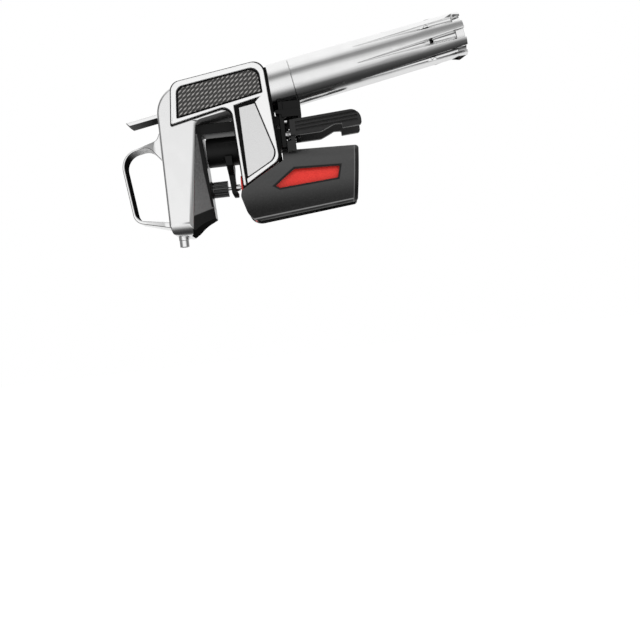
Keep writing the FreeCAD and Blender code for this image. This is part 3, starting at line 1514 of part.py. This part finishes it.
def make_jaw(name, side):
    shell_body = cut(
        name + "_shell",
        cone(name + "_outer", S.jaw_left_radius, S.jaw_right_radius),
        cone(name + "_inner", SHELL_LEFT, SHELL_RIGHT))
    outline = new_body(name + "_outline")
    slab(outline, JAW_OUTLINE, S.jaw_left_radius * 4)
    claw = common(name + "_claw", shell_body, outline, half_space(name, side))
    window = new_body(name + "_window")
    slab(window, WINDOW, S.jaw_left_radius, S.jaw_left_radius * side)
    pierced = cut(name + "_pierced", claw, window)
    ear_ends = sorted((S.ear_inner * side, S.ear_outer * side), key=lambda v: v.value)
    ear = box(name + "_ear", S.ear_left_x, S.ear_right_x, *ear_ends, S.ear_low_z, S.ear_top_z)
    knuckle = box(name + "_knuckle", S.knuckle_left_x, S.ear_right_x, *ear_ends, S.ear_low_z,
                  S.knuckle_top_z)
    lever = new_body(name + "_lever")
    slab(lever, lever_outline(), S.lever_thick, (S.lever_inner + S.lever_thick / 2) * side)
    grooves = new_body(name + "_grooves")
    sketch = side_sketch_grooves(grooves, (S.lever_inner + S.lever_thick) * side)
    extrude(grooves, "Pad", sketch, S.groove_depth * 2)
    hole = rod(name + "_pin_bore", S.pin_radius + S.pin_fit, "X", S.ear_left_x - 1, S.ear_right_x + 1,
               y=S.pivot_y * side, z=S.pivot_z)
    room = rod(name + "_liner_room", S.neck_space_radius, "X", 0, S.ear_right_x + 1)
    solid = cut(name + "_ear_cut", fused(name + "_ear_all", ear, knuckle), room)
    node(cut(name + "_done", fused(name + "_all", pierced, solid, lever), grooves, hole), name + "_jaw")


def side_sketch_grooves(body, middle):
    """Three long slots along the finger lever."""
    sketch = new_sketch(body, "XZ_Plane", -middle)
    for index in range(3):
        low = S.groove_first_z + S.groove_pitch * index
        draw_outline(sketch, [
            (S.groove_left_x, low),
            (S.groove_right_x, low + S.groove_rise),
            (S.groove_right_x, low + S.groove_rise + S.groove_width),
            (S.groove_left_x, low + S.groove_width),
        ], mark=f"g{index}_")
    return sketch


def make_liner(name, side):
    outer_left, outer_right = SHELL_LEFT - S.liner_gap, SHELL_RIGHT - S.liner_gap
    sleeve = cut(
        name + "_sleeve",
        cone(name + "_sleeve_outer", outer_left, outer_right),
        cone(name + "_sleeve_inner", outer_left - S.liner_left_thick, outer_right - S.liner_right_thick))
    edge = inset(JAW_OUTLINE, S.liner_edge)
    outline = new_body(name + "_liner_outline")
    slab(outline, [corner[:2] for corner in edge], S.jaw_left_radius * 4)
    span = box(name + "_liner_span", S.liner_left_x, S.liner_right_x, -S.jaw_left_radius, S.jaw_left_radius,
               -S.jaw_left_radius * 2, S.jaw_left_radius)
    node(common(name + "_liner", sleeve, outline, span, half_space(name + "_liner", side)),
         name + "_jaw_liner")


def make_hinge(name, side):
    node(rod(name + "_hinge", S.pin_radius, "X", S.wall_left_x, LUG_LEFT + S.lug_thick,
             y=S.pivot_y * side, z=S.pivot_z), name + "_jaw_pin")
    spring = coil(name + "_coil", S.jaw_spring_radius, S.jaw_spring_wire, WALL_RIGHT + S.rail_fit,
                  S.knuckle_left_x - S.rail_fit, S.jaw_spring_turns)
    node(place(spring, 0, S.pivot_y * side, S.pivot_z), name + "_jaw_spring")


# ---- The whole ---------------------------------------------------------------------------------

make_casting()
make_end_plate()
for side_name, side_sign in SIDES:
    make_side_plates(side_name, side_sign)
make_arm_cover()
make_finger_loop()
make_spout()
make_collar()
make_cup()
make_capsule()
make_regulator()
make_trigger()
make_needle()
make_block()
make_carriage()
make_grommet()
make_guide()
for side_name, side_sign in SIDES:
    make_jaw(side_name, side_sign)
    make_liner(side_name, side_sign)
    make_hinge(side_name, side_sign)
doc.recompute()

faults = [f"{thing.Name} did not build" for thing in doc.Objects
          if "Invalid" in thing.State or "Error" in thing.State]
for thing in NODES:
    if thing.Shape.isNull() or not thing.Shape.isValid() or not thing.Shape.Solids:
        faults.append(f"{thing.Label} has no valid solid")
if faults:
    raise RuntimeError("; ".join(faults))
os.makedirs("parts", exist_ok=True)
for thing in NODES:
    thing.Shape.exportStep(f"parts/{thing.Label}.step")
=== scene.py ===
import json
import math

import bpy
from mathutils import Matrix, Vector


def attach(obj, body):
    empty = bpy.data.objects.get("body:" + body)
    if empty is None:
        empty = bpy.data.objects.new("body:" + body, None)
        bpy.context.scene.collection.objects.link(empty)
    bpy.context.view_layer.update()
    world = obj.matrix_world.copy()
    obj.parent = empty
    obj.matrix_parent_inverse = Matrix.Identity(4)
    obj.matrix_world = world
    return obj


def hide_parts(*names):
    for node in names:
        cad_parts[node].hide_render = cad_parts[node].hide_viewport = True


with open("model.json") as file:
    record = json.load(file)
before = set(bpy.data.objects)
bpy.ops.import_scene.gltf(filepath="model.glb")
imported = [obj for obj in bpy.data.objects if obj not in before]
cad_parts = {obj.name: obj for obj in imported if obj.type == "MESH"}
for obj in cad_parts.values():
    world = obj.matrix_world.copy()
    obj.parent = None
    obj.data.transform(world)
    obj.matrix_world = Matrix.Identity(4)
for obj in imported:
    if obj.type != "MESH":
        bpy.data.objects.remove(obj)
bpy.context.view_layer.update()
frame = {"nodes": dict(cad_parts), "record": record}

# Wine preservation dispenser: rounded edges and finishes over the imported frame.
# +X runs along the needle towards the bottle, +Z from the spout to the cup, -Y is the side seen.

BODY_OF = {node: body for body, nodes in frame["record"]["behaviour"]["bodies"].items() for node in nodes}
SLOT_OF = {part["node"]: part["material_slot"] for part in frame["record"]["subparts"]}
FINISH_OF = dict(SLOT_OF, needle_hub="hub_black", spout_tube="spout_steel")


# ---- Shader maths ------------------------------------------------------------------------------

class Shade:
    """One output of a shader node; sums on it add Math nodes."""

    def __init__(self, finish, socket):
        self.finish = finish
        self.socket = socket

    def maths(self, operation, *terms):
        return self.finish.node("ShaderNodeMath", {"operation": operation}, dict(enumerate(terms)))

    def __add__(self, other):
        return self.maths("ADD", self, other)

    def __radd__(self, other):
        return self.maths("ADD", other, self)

    def __sub__(self, other):
        return self.maths("SUBTRACT", self, other)

    def __rsub__(self, other):
        return self.maths("SUBTRACT", other, self)

    def __mul__(self, other):
        return self.maths("MULTIPLY", self, other)

    def __truediv__(self, other):
        return self.maths("DIVIDE", self, other)

    def __abs__(self):
        return self.maths("ABSOLUTE", self)

    def __gt__(self, other):
        return self.maths("GREATER_THAN", self, other)

    def sine(self):
        return self.maths("SINE", self)

    def step(self, low, high):
        """0 below low, 1 above high, and a soft rise between them."""
        settings = {"interpolation_type": "SMOOTHSTEP", "clamp": True}
        inputs = {"Value": self, "From Min": low, "From Max": high, "To Min": 0.0, "To Max": 1.0}
        return self.finish.node("ShaderNodeMapRange", settings, inputs)


class Finish:
    """The node tree of one material, or of the world."""

    def __init__(self, tree):
        self.tree = tree
        tree.nodes.clear()

    def node(self, kind, settings=None, inputs=None, output=0):
        made = self.tree.nodes.new(kind)
        for name, value in (settings or {}).items():
            if name == "stops":
                self.set_stops(made.color_ramp, value)
            else:
                setattr(made, name, value)
        for name, value in (inputs or {}).items():
            if isinstance(value, Shade):
                self.tree.links.new(value.socket, made.inputs[name])
            else:
                made.inputs[name].default_value = value
        return Shade(self, made.outputs[output]) if made.outputs else None

    def set_stops(self, ramp, stops):
        while len(ramp.elements) < len(stops):
            ramp.elements.new(0.5)
        for element, (place, value) in zip(ramp.elements, stops):
            element.position = place
            element.color = (value, value, value, 1.0)

    def mixed(self, factor, first, second):
        """A colour between two colours."""
        inputs = {0: factor, 6: first, 7: second}
        return self.node("ShaderNodeMix", {"data_type": "RGBA"}, inputs, 2)

    def place(self):
        return self.node("ShaderNodeTexCoord", output="Object")

    def axes(self, vector):
        split = self.node("ShaderNodeSeparateXYZ", None, {0: vector})
        outputs = split.socket.node.outputs
        return [Shade(self, outputs[index]) for index in range(3)]

    def noise(self, vector, scale, detail=2.0, roughness=0.5):
        inputs = {"Vector": vector, "Scale": scale, "Detail": detail, "Roughness": roughness}
        return self.node("ShaderNodeTexNoise", None, inputs)

    def stretched(self, vector, scale):
        """The place with each axis scaled, so that a noise on it is drawn out."""
        return self.node("ShaderNodeMapping", None, {"Vector": vector, "Scale": scale})

    def outside(self, x, z, corners):
        """How far a place lies outside an outline, below 0 within it, or how far it is from a line."""
        far = None
        for (x1, z1), (x2, z2) in zip(corners, corners[1:] + corners[:1]):
            length = math.hypot(x2 - x1, z2 - z1)
            right, up = (z2 - z1) / length, (x1 - x2) / length
            side = x * right + z * up - (x1 * right + z1 * up)
            far = side if far is None else side.maths("MAXIMUM", far, side)
        return far

    def bump(self, height, strength, distance):
        inputs = {"Height": height, "Strength": strength, "Distance": distance}
        return self.node("ShaderNodeBump", None, inputs)


def grey(value, warmth=0.0):
    """A grey, or a slightly warm one."""
    return (value * (1 + warmth), value, value * (1 - warmth), 1.0)


MATERIALS = {}


def material(name, **sockets):
    """A material whose even values are set here; its patterns are linked by link_pattern."""
    made = bpy.data.materials.new(name)
    made.use_nodes = True
    finish = Finish(made.node_tree)
    shader = finish.node("ShaderNodeBsdfPrincipled", None, sockets)
    finish.node("ShaderNodeOutputMaterial", None, {"Surface": shader})
    finish.shader = shader.socket.node
    MATERIALS[name] = made
    return finish


def link_pattern(finish, **patterns):
    for name, pattern in patterns.items():
        finish.tree.links.new(pattern.socket, finish.shader.inputs[name.replace("_", " ")])


# ---- Finishes ----------------------------------------------------------------------------------

# Outlines are (x, z) corners in metres, each a line or a convex shape of the side seen. Noise scales are
# lumps in a metre. Base values are linear, from 0 for black to 1 for white.

def satin_metal(name, base, roughness, grain=0.12):
    """Blasted metal: faint clouding and a fine grain."""
    finish = material(name, Metallic=1.0)
    spot = finish.place()
    clouds = finish.noise(spot, scale=90.0, detail=3.0)
    grains = finish.noise(spot, scale=5200.0, roughness=0.6)
    link_pattern(
        finish,
        Base_Color=finish.mixed(clouds.step(0.35, 0.65), grey(base * 0.965), grey(base)),
        Roughness=roughness + (clouds - 0.5) * 0.06 + (grains - 0.5) * 0.04,
        Normal=finish.bump(grains, strength=grain, distance=0.00003))


def polished_metal(name, base, roughness, metallic=1.0):
    """Polished metal with faint rubbing marks."""
    finish = material(name, Metallic=metallic)
    spot = finish.place()
    rubs = finish.noise(finish.stretched(spot, (900.0, 900.0, 120.0)), scale=1.0)
    clouds = finish.noise(spot, scale=60.0)
    link_pattern(
        finish,
        Base_Color=finish.mixed(clouds, grey(base * 0.97), grey(base)),
        Roughness=roughness + (rubs - 0.5) * 0.05,
        Normal=finish.bump(rubs, strength=0.05, distance=0.00002))


def moulded_plastic(name, base, roughness, shine=0.5):
    """Moulded plastic with a fine spark-eroded grain."""
    finish = material(name, **{"Specular IOR Level": shine})
    spot = finish.place()
    grains = finish.noise(spot, scale=2600.0, detail=3.0, roughness=0.6)
    clouds = finish.noise(spot, scale=70.0)
    link_pattern(
        finish,
        Base_Color=finish.mixed(clouds, grey(base * 0.85), grey(base * 1.15)),
        Roughness=roughness + (grains - 0.5) * 0.15,
        Normal=finish.bump(grains, strength=0.25, distance=0.00004))


satin_metal("cast_silver", 0.9, 0.24)
satin_metal("satin_silver", 0.84, 0.17, grain=0.048)
polished_metal("bright_trim", 0.98, 0.12, metallic=0.5)
polished_metal("polished_silver", 0.92, 0.14)
polished_metal("steel", 0.7, 0.1)
polished_metal("spout_steel", 0.9, 0.06)
moulded_plastic("black_backing", 0.002, 0.45, shine=0.12)
moulded_plastic("black_plastic", 0.004, 0.42, shine=0.22)
moulded_plastic("hub_black", 0.004, 0.14, shine=0.9)
moulded_plastic("seal_rubber", 0.015, 0.6)


def make_brass():
    finish = material("brass", Metallic=1.0)
    spot = finish.place()
    turning = finish.noise(finish.stretched(spot, (4000.0, 300.0, 300.0)), scale=1.0, detail=1.0)
    link_pattern(
        finish,
        Base_Color=finish.mixed(turning, (0.62, 0.42, 0.17, 1.0), (0.78, 0.56, 0.27, 1.0)),
        Roughness=0.24 + turning * 0.08,
        Normal=finish.bump(turning, strength=0.1, distance=0.00003))


make_brass()


def make_plate_satin():
    """Light, finely speckled satin of the bare plate."""
    finish = material("plate_satin", Metallic=1.0)
    spot = finish.place()
    speckles = finish.noise(spot, scale=2400.0, roughness=0.7)
    link_pattern(
        finish,
        Base_Color=finish.mixed(speckles.step(0.3, 0.7), grey(0.79), grey(0.99)),
        Roughness=0.42 + (speckles - 0.5) * 0.2,
        Normal=finish.bump(speckles, strength=0.25, distance=0.00003))


make_plate_satin()

# The pads' weave: rows this far apart, bars this long in them, and the rows' climb towards the bottle
KNURL_ROW = 0.0017
KNURL_DASH = 0.0036
KNURL_TURN = math.radians(44.0)


def make_grip_grey():
    """Woven-looking pad: short raised bars in rows that climb towards the bottle."""
    finish = material("grip_grey")
    spot = finish.place()
    x, _, z = finish.axes(spot)
    along = x * math.cos(KNURL_TURN) + z * math.sin(KNURL_TURN)
    across = z * math.cos(KNURL_TURN) - x * math.sin(KNURL_TURN)
    rows = (across * (2 * math.pi / KNURL_ROW)).sine()
    dashes = ((along + across * (KNURL_DASH / KNURL_ROW / 2)) * (2 * math.pi / KNURL_DASH)).sine()
    grains = finish.noise(spot, scale=2600.0)
    height = rows * 0.5 + dashes * 0.22 + (grains - 0.5) * 0.8 + 0.5
    peak = height.step(0.6, 1.15)
    link_pattern(
        finish,
        Base_Color=finish.mixed(peak, grey(0.03, 0.04), grey(0.42, 0.03)),
        Roughness=0.5 - peak * 0.15,
        Normal=finish.bump(height, strength=0.6, distance=0.0003))


make_grip_grey()

# The cover's smooth black parts: the band below this line along its foot, and a strip beside the window
FOOT_X = -0.0334
FOOT_Z = -0.0151
FOOT_SLOPE = 0.365
COVER_STRIP = [(-0.0224, -0.0103), (-0.0180, -0.0103), (-0.0180, 0.0335), (-0.0257, 0.0332),
               (-0.0245, 0.0095)]
COVER_TOP = 0.03
COVER_LOW = -0.016


def make_cover_grey():
    """Grained cover, lighter towards its foot, with smooth black along foot and window."""
    finish = material("cover_grey")
    spot = finish.place()
    x, _, z = finish.axes(spot)
    grains = finish.noise(spot, scale=1500.0, detail=4.0, roughness=0.65)
    foot = z - FOOT_Z - (x - FOOT_X) * FOOT_SLOPE
    strip = finish.outside(x, z, COVER_STRIP)
    grained = foot.step(-0.0004, 0.0004) * strip.step(-0.0002, 0.0002)
    lighter = z.step(COVER_TOP, COVER_LOW)
    colour = finish.mixed(grains.step(0.3, 0.75), grey(0.045), grey(0.165))
    colour = finish.mixed(lighter * 0.55, colour, grey(0.2))
    link_pattern(
        finish,
        Base_Color=finish.mixed(grained, grey(0.004), colour),
        Roughness=0.28 + grained * 0.27,
        Normal=finish.bump(grains * grained, strength=0.5, distance=0.00008))


make_cover_grey()

JAW_LOW_EDGE = [(-0.0007, -0.0219), (0.0604, -0.0161)]
JAW_END_EDGE = [(0.0604, -0.0161), (0.0643, 0.0158)]
WINDOW = [(0.0153, -0.0039), (0.0176, -0.0053), (0.0503, -0.0029), (0.0520, 0.0037), (0.0268, 0.0046)]
# A jaw's side turns black towards its foot as painted shade, and again where it rises to the lever.
JAW_FOOT = -0.021
JAW_SIDE = -0.002
JAW_NECK = 0.0125
JAW_LEVER = 0.0165
# Its rims: the edge, the width of the black rim of painted shade, where the painted highlight line beside
# it ends, and that line's tone
JAW_RIMS = [(JAW_LOW_EDGE, 0.0013, 0.0018, 0.3), (JAW_END_EDGE, 0.0021, 0.0025, 0.16)]


def make_soft_black():
    """Soft-touch jaws with light dust specks: painted shade darkens the side towards the foot and lies
    black round the window, and a painted highlight line runs beside a black rim of painted shade along the
    rims.
    """
    sheen = {"Sheen Weight": 0.2, "Sheen Roughness": 0.4}
    finish = material("soft_black", **sheen, **{"Specular IOR Level": 0.35})
    spot = finish.place()
    x, _, z = finish.axes(spot)
    dust = finish.noise(spot, scale=1100.0, detail=4.0, roughness=0.7)
    clouds = finish.noise(spot, scale=45.0)
    # Painted shade: black in the shadow gap round the window.
    window_shade = 1 - finish.outside(x, z, WINDOW).step(0.0007, 0.0014)
    # Painted shade: the side darkens towards the foot.
    colour = finish.mixed(z.step(JAW_FOOT, JAW_SIDE), grey(0.008), grey(0.058))
    colour = finish.mixed(dust.step(0.45, 0.8) * 0.3, colour, grey(0.10))
    colour = finish.mixed(z.step(JAW_NECK, JAW_LEVER), colour, grey(0.016))
    below = 1 - z.step(JAW_LEVER - 0.0005, JAW_LEVER)
    # Painted highlight: a light line beside each rim; painted shade: the black rim under it.
    for edge, rim_width, line_end, light in JAW_RIMS:
        far = finish.outside(x, z, edge)
        line = (1 - far.step(line_end, line_end + 0.0002)) * below
        painted_shade_rim = (1 - far.step(rim_width - 0.0001, rim_width + 0.0001)) * below
        colour = finish.mixed(line, colour, grey(light))
        colour = finish.mixed(painted_shade_rim, colour, grey(0.004))
    link_pattern(
        finish,
        Base_Color=finish.mixed(window_shade, colour, grey(0.003)),
        Roughness=0.5 + (clouds - 0.5) * 0.12,
        Normal=finish.bump(dust, strength=0.2, distance=0.00004))


make_soft_black()

# The liners' edge along the frame, painted black with shade as wide as this, from here on towards the
# bottle
LINER_EDGE = [(-0.0016, -0.0032), (0.0196, 0.0095)]
LINER_RIM = 0.0024
LINER_RIM_START = 0.003
DEEP_RED = (0.8, 0.02, 0.014, 1.0)
BRIGHT_RED = (0.95, 0.045, 0.028, 1.0)


def make_red_liner():
    """Red lining, turned black by painted shade along the edge that lies under the frame."""
    finish = material("red_liner", **{"Sheen Weight": 0.1})
    spot = finish.place()
    x, _, z = finish.axes(spot)
    grains = finish.noise(spot, scale=1400.0, detail=3.0, roughness=0.6)
    # Painted shade: black along the edge under the frame.
    far = finish.outside(x, z, LINER_EDGE)
    edge = (1 - far.step(LINER_RIM - 0.0002, LINER_RIM + 0.0002)) * (x > LINER_RIM_START)
    colour = finish.mixed(grains.step(0.3, 0.7), DEEP_RED, BRIGHT_RED)
    link_pattern(
        finish,
        Base_Color=finish.mixed(edge, colour, grey(0.004)),
        Roughness=0.5 + (grains - 0.5) * 0.15,
        Normal=finish.bump(grains, strength=0.15, distance=0.00004))


make_red_liner()


def make_shade(name, light, dark, slope, start, end):
    """Painted shade for a wall turned from the light, from light to dark between two distances along slope,
    in X and Z.
    """
    finish = material(name, **{"Specular IOR Level": 0.0})
    spot = finish.place()
    x, _, z = finish.axes(spot)
    clouds = finish.noise(spot, scale=120.0, detail=3.0)
    fall = (x * slope[0] + z * slope[1] + (clouds - 0.5) * 0.001).step(start, end)
    link_pattern(
        finish,
        Base_Color=finish.mixed(fall, grey(light), grey(dark)),
        Roughness=0.5 + (clouds - 0.5) * 0.1,
        Normal=finish.bump(clouds, strength=0.05, distance=0.00003))


TO_BOTTLE = (1.0, 0.0)
DOWN = (0.0, -1.0)
DOWN_AND_ALONG = (0.25, -1.0)
TO_HAND = (-1.0, -0.15)
# Painted shade on the loop's inner wall, the trigger's underside, the head's roof, the hollow of the foot
# and the jaws' undersides
make_shade("loop_wall", 0.92, 0.008, TO_HAND, 0.052, 0.064)
make_shade("trigger_underside", 0.12, 0.025, TO_BOTTLE, -0.066, -0.045)
make_shade("head_roof", 0.22, 0.003, DOWN_AND_ALONG, -0.046, -0.034)
make_shade("foot_hollow", 0.012, 0.006, DOWN, 0.012, 0.026)
make_shade("jaw_underside", 0.006, 0.003, TO_BOTTLE, 0.0, 0.06)


# ---- Rounded copies of the frame's pieces ------------------------------------------------------

def select_only(thing):
    for other in bpy.context.selected_objects:
        other.select_set(False)
    thing.select_set(True)
    bpy.context.view_layer.objects.active = thing


# Corners nearer than the gap become one, faces turned less than the flat turn become one, and edges sharper
# than the edge turn are rounded.
JOIN_GAP = 0.000002
FLAT_TURN = math.radians(0.4)
EDGE_TURN = math.radians(32.0)
SMOOTH_TURN = math.radians(38.0)


def rounded_piece(node, width):
    """A copy of a frame piece with its triangles joined up and its edges rounded."""
    source = frame["nodes"][node]
    mesh = source.data.copy()
    piece = bpy.data.objects.new(node + "_rounded", mesh)
    bpy.context.scene.collection.objects.link(piece)
    mesh.materials.clear()
    mesh.materials.append(MATERIALS[FINISH_OF[node]])
    select_only(piece)
    bpy.ops.object.mode_set(mode="EDIT")
    bpy.ops.mesh.select_all(action="SELECT")
    bpy.ops.mesh.remove_doubles(threshold=JOIN_GAP)
    bpy.ops.mesh.dissolve_limited(angle_limit=FLAT_TURN, delimit={"NORMAL"})
    bpy.ops.object.mode_set(mode="OBJECT")
    bevel = piece.modifiers.new("edges", "BEVEL")
    bevel.width = width
    bevel.segments = 2
    bevel.limit_method = "ANGLE"
    bevel.angle_limit = EDGE_TURN
    bevel.use_clamp_overlap = False
    bevel.harden_normals = False
    bpy.ops.object.modifier_apply(modifier=bevel.name)
    bpy.ops.object.shade_smooth_by_angle(angle=SMOOTH_TURN)
    weighted = piece.modifiers.new("shading", "WEIGHTED_NORMAL")
    weighted.keep_sharp = True
    bpy.ops.object.modifier_apply(modifier=weighted.name)
    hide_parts(node)
    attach(piece, BODY_OF[node])
    return piece


def shade_faces(node, shade, wanted):
    """Give the faces that wanted picks the painted shade of a wall turned from the light."""
    mesh = rounded[node].data
    mesh.materials.append(MATERIALS[shade])
    for face in mesh.polygons:
        if wanted(face.center, face.normal):
            face.material_index = len(mesh.materials) - 1


LOOP_MIDDLE = Vector((-0.060, 0.0, 0.006))
WINDOW_LEFT = -0.0265
WINDOW_MIDDLE = 0.02
HOLLOW_LEFT = -0.0345
HOLLOW_TOP = -0.005
JAW_UNDERSIDE_TOP = -0.01


def is_loop_wall(centre, normal):
    return abs(normal.y) < 0.6 and normal.dot(LOOP_MIDDLE - centre) > 0


def is_roof(centre, normal):
    return normal.z < -0.5 and centre.x > WINDOW_LEFT and centre.z > WINDOW_MIDDLE


def is_foot_hollow(centre, normal):
    return normal.z < -0.25 and centre.z < HOLLOW_TOP and centre.x > HOLLOW_LEFT


def is_underside(centre, normal):
    return normal.z < -0.6


def is_jaw_underside(centre, normal):
    return normal.z < -0.93 and centre.z < JAW_UNDERSIDE_TOP


# How wide the edges of each piece that can be seen are rounded, in metres
ROUNDED = {
    "body_casting": 0.0003,
    "head_end_plate": 0.0002,
    "left_trim": 0.00035,
    "right_trim": 0.00035,
    "left_grip_pad": 0.0003,
    "right_grip_pad": 0.0003,
    "left_name_plate": 0.0002,
    "right_name_plate": 0.0002,
    "arm_cover": 0.0003,
    "finger_loop": 0.0006,
    "trigger": 0.0004,
    "spout_tube": 0.0002,
    "collar": 0.0002,
    "capsule_cup": 0.00018,
    "cup_end_cap": 0.0002,
    "clamp_carriage": 0.0003,
    "guide_rail": 0.0002,
    "needle_guide": 0.0003,
    "needle_grommet": 0.0002,
    "needle_hub": 0.0002,
    "left_jaw": 0.0003,
    "right_jaw": 0.0003,
}
for node, source in frame["nodes"].items():
    source.data.materials.clear()
    source.data.materials.append(MATERIALS[FINISH_OF[node]])
rounded = {node: rounded_piece(node, width) for node, width in ROUNDED.items()}
shade_faces("finger_loop", "loop_wall", is_loop_wall)
shade_faces("trigger", "trigger_underside", is_underside)
shade_faces("body_casting", "head_roof", is_roof)
shade_faces("body_casting", "foot_hollow", is_foot_hollow)
shade_faces("arm_cover", "foot_hollow", is_foot_hollow)
for jaw in ("left_jaw", "right_jaw"):
    shade_faces(jaw, "jaw_underside", is_jaw_underside)
for node in frame["nodes"]:
    if node not in ROUNDED:
        select_only(frame["nodes"][node])
        bpy.ops.object.shade_smooth_by_angle(angle=EDGE_TURN)

# ---- Floor, light and camera -------------------------------------------------------------------

FLOOR_SIZE = 8.0
FLOOR_BACK = 2.0
FLOOR_Z = -0.28


def make_floor():
    """A pale floor that glows white to the eye and can't be seen in the polished metal."""
    bpy.ops.mesh.primitive_plane_add(size=FLOOR_SIZE, location=(0.0, FLOOR_BACK, FLOOR_Z))
    floor = bpy.context.object
    floor.name = "floor"
    made = bpy.data.materials.new("pale_floor")
    made.use_nodes = True
    finish = Finish(made.node_tree)
    seen = finish.node("ShaderNodeLightPath", output="Is Camera Ray")
    matt = finish.node("ShaderNodeBsdfDiffuse", None, {"Color": grey(0.8)})
    glow = finish.node("ShaderNodeEmission", None, {"Color": grey(1.0), "Strength": seen * 0.62})
    both = finish.node("ShaderNodeAddShader", None, {0: matt, 1: glow})
    finish.node("ShaderNodeOutputMaterial", None, {"Surface": both})
    floor.data.materials.append(made)
    floor.visible_glossy = False


make_floor()

ROLL = math.radians(6.52)
IMAGE_RIGHT = Vector((math.cos(ROLL), 0.0, -math.sin(ROLL)))
IMAGE_UP = Vector((math.sin(ROLL), 0.0, math.cos(ROLL)))


def share(degrees):
    """Where a turn from -180 to 180 degrees lies on a ramp from 0 to 1."""
    return (degrees / 180 + 1) / 2


# What polished metal mirrors, turn by turn about the camera's right: degrees and brightness
CARDS = [
    (-180, 0.75), (-135, 0.82), (-121, 0.7), (-109, 0.2), (-97, 0.04), (-75, 0.035), (-62, 0.06),
    (-52, 0.1), (-43, 0.24), (-34, 0.52), (-26, 0.78), (-16, 0.92), (-4, 0.92), (14, 0.86),
    (20, 0.7), (27, 0.48), (34, 0.27), (44, 0.27), (53, 0.52), (63, 0.82), (73, 0.95), (90, 1.0),
    (180, 0.95),
]


def make_world():
    """A white room to the eye; to polished metal, soft boxes with dark gaps between them."""
    world = bpy.data.worlds.new("studio")
    world.use_nodes = True
    bpy.context.scene.world = world
    finish = Finish(world.node_tree)
    way = finish.node("ShaderNodeTexCoord", output="Generated")
    dot = {"operation": "DOT_PRODUCT"}
    up = finish.node("ShaderNodeVectorMath", dot, {0: way, 1: IMAGE_UP}, "Value")
    side = finish.node("ShaderNodeVectorMath", dot, {0: way, 1: IMAGE_RIGHT}, "Value")
    _, y, _ = finish.axes(way)
    angle = up.maths("ARCTAN2", up, y * -1)
    stops = [(share(degrees), value) for degrees, value in CARDS]
    room = finish.node("ShaderNodeValToRGB", {"stops": stops}, {"Fac": angle / (2 * math.pi) + 0.5})
    room = finish.mixed(abs(side).step(0.4, 0.9) * 0.8, room, grey(0.04))
    glossy = finish.node("ShaderNodeLightPath", output="Is Glossy Ray")
    seen = finish.node("ShaderNodeLightPath", output="Is Camera Ray")
    colour = finish.mixed(glossy, grey(0.62), room)
    colour = finish.mixed(seen, colour, grey(1.0))
    sky = finish.node("ShaderNodeBackground", None, {"Color": colour, "Strength": 1 + glossy * 0.1})
    finish.node("ShaderNodeOutputWorld", None, {"Surface": sky})


make_world()

LAMP_AIM = Vector((0.03, 0.0, 0.02))
LAMP_SIZE = 0.9


def soft_box(name, spot, power):
    """A square soft box aimed at the part, kept out of the polished metal."""
    light = bpy.data.lights.new(name, "AREA")
    light.shape = "SQUARE"
    light.size = LAMP_SIZE
    light.energy = power
    lamp = bpy.data.objects.new(name, light)
    bpy.context.scene.collection.objects.link(lamp)
    lamp.visible_glossy = False
    lamp.location = spot
    lamp.rotation_euler = (LAMP_AIM - Vector(spot)).to_track_quat("-Z", "Y").to_euler()


soft_box("key_light", (-0.5, -0.9, 1.1), 7.0)
soft_box("fill_light", (0.9, -0.8, 0.5), 2.0)

CAMERA_SPOT = (0.0313, -0.6, -0.0809)
CAMERA_ANGLE = math.radians(34.1)


def make_camera():
    """A camera square on to the side seen, rolled a little about its own axis."""
    data = bpy.data.cameras.new("camera")
    data.angle = CAMERA_ANGLE
    data.clip_start = 0.01
    camera = bpy.data.objects.new("camera", data)
    bpy.context.scene.collection.objects.link(camera)
    turn = Matrix((IMAGE_RIGHT, IMAGE_UP, (0.0, -1.0, 0.0))).transposed()
    camera.matrix_world = Matrix.Translation(CAMERA_SPOT) @ turn.to_4x4()
    bpy.context.scene.camera = camera


make_camera()
bpy.context.scene.view_settings.view_transform = "Standard"
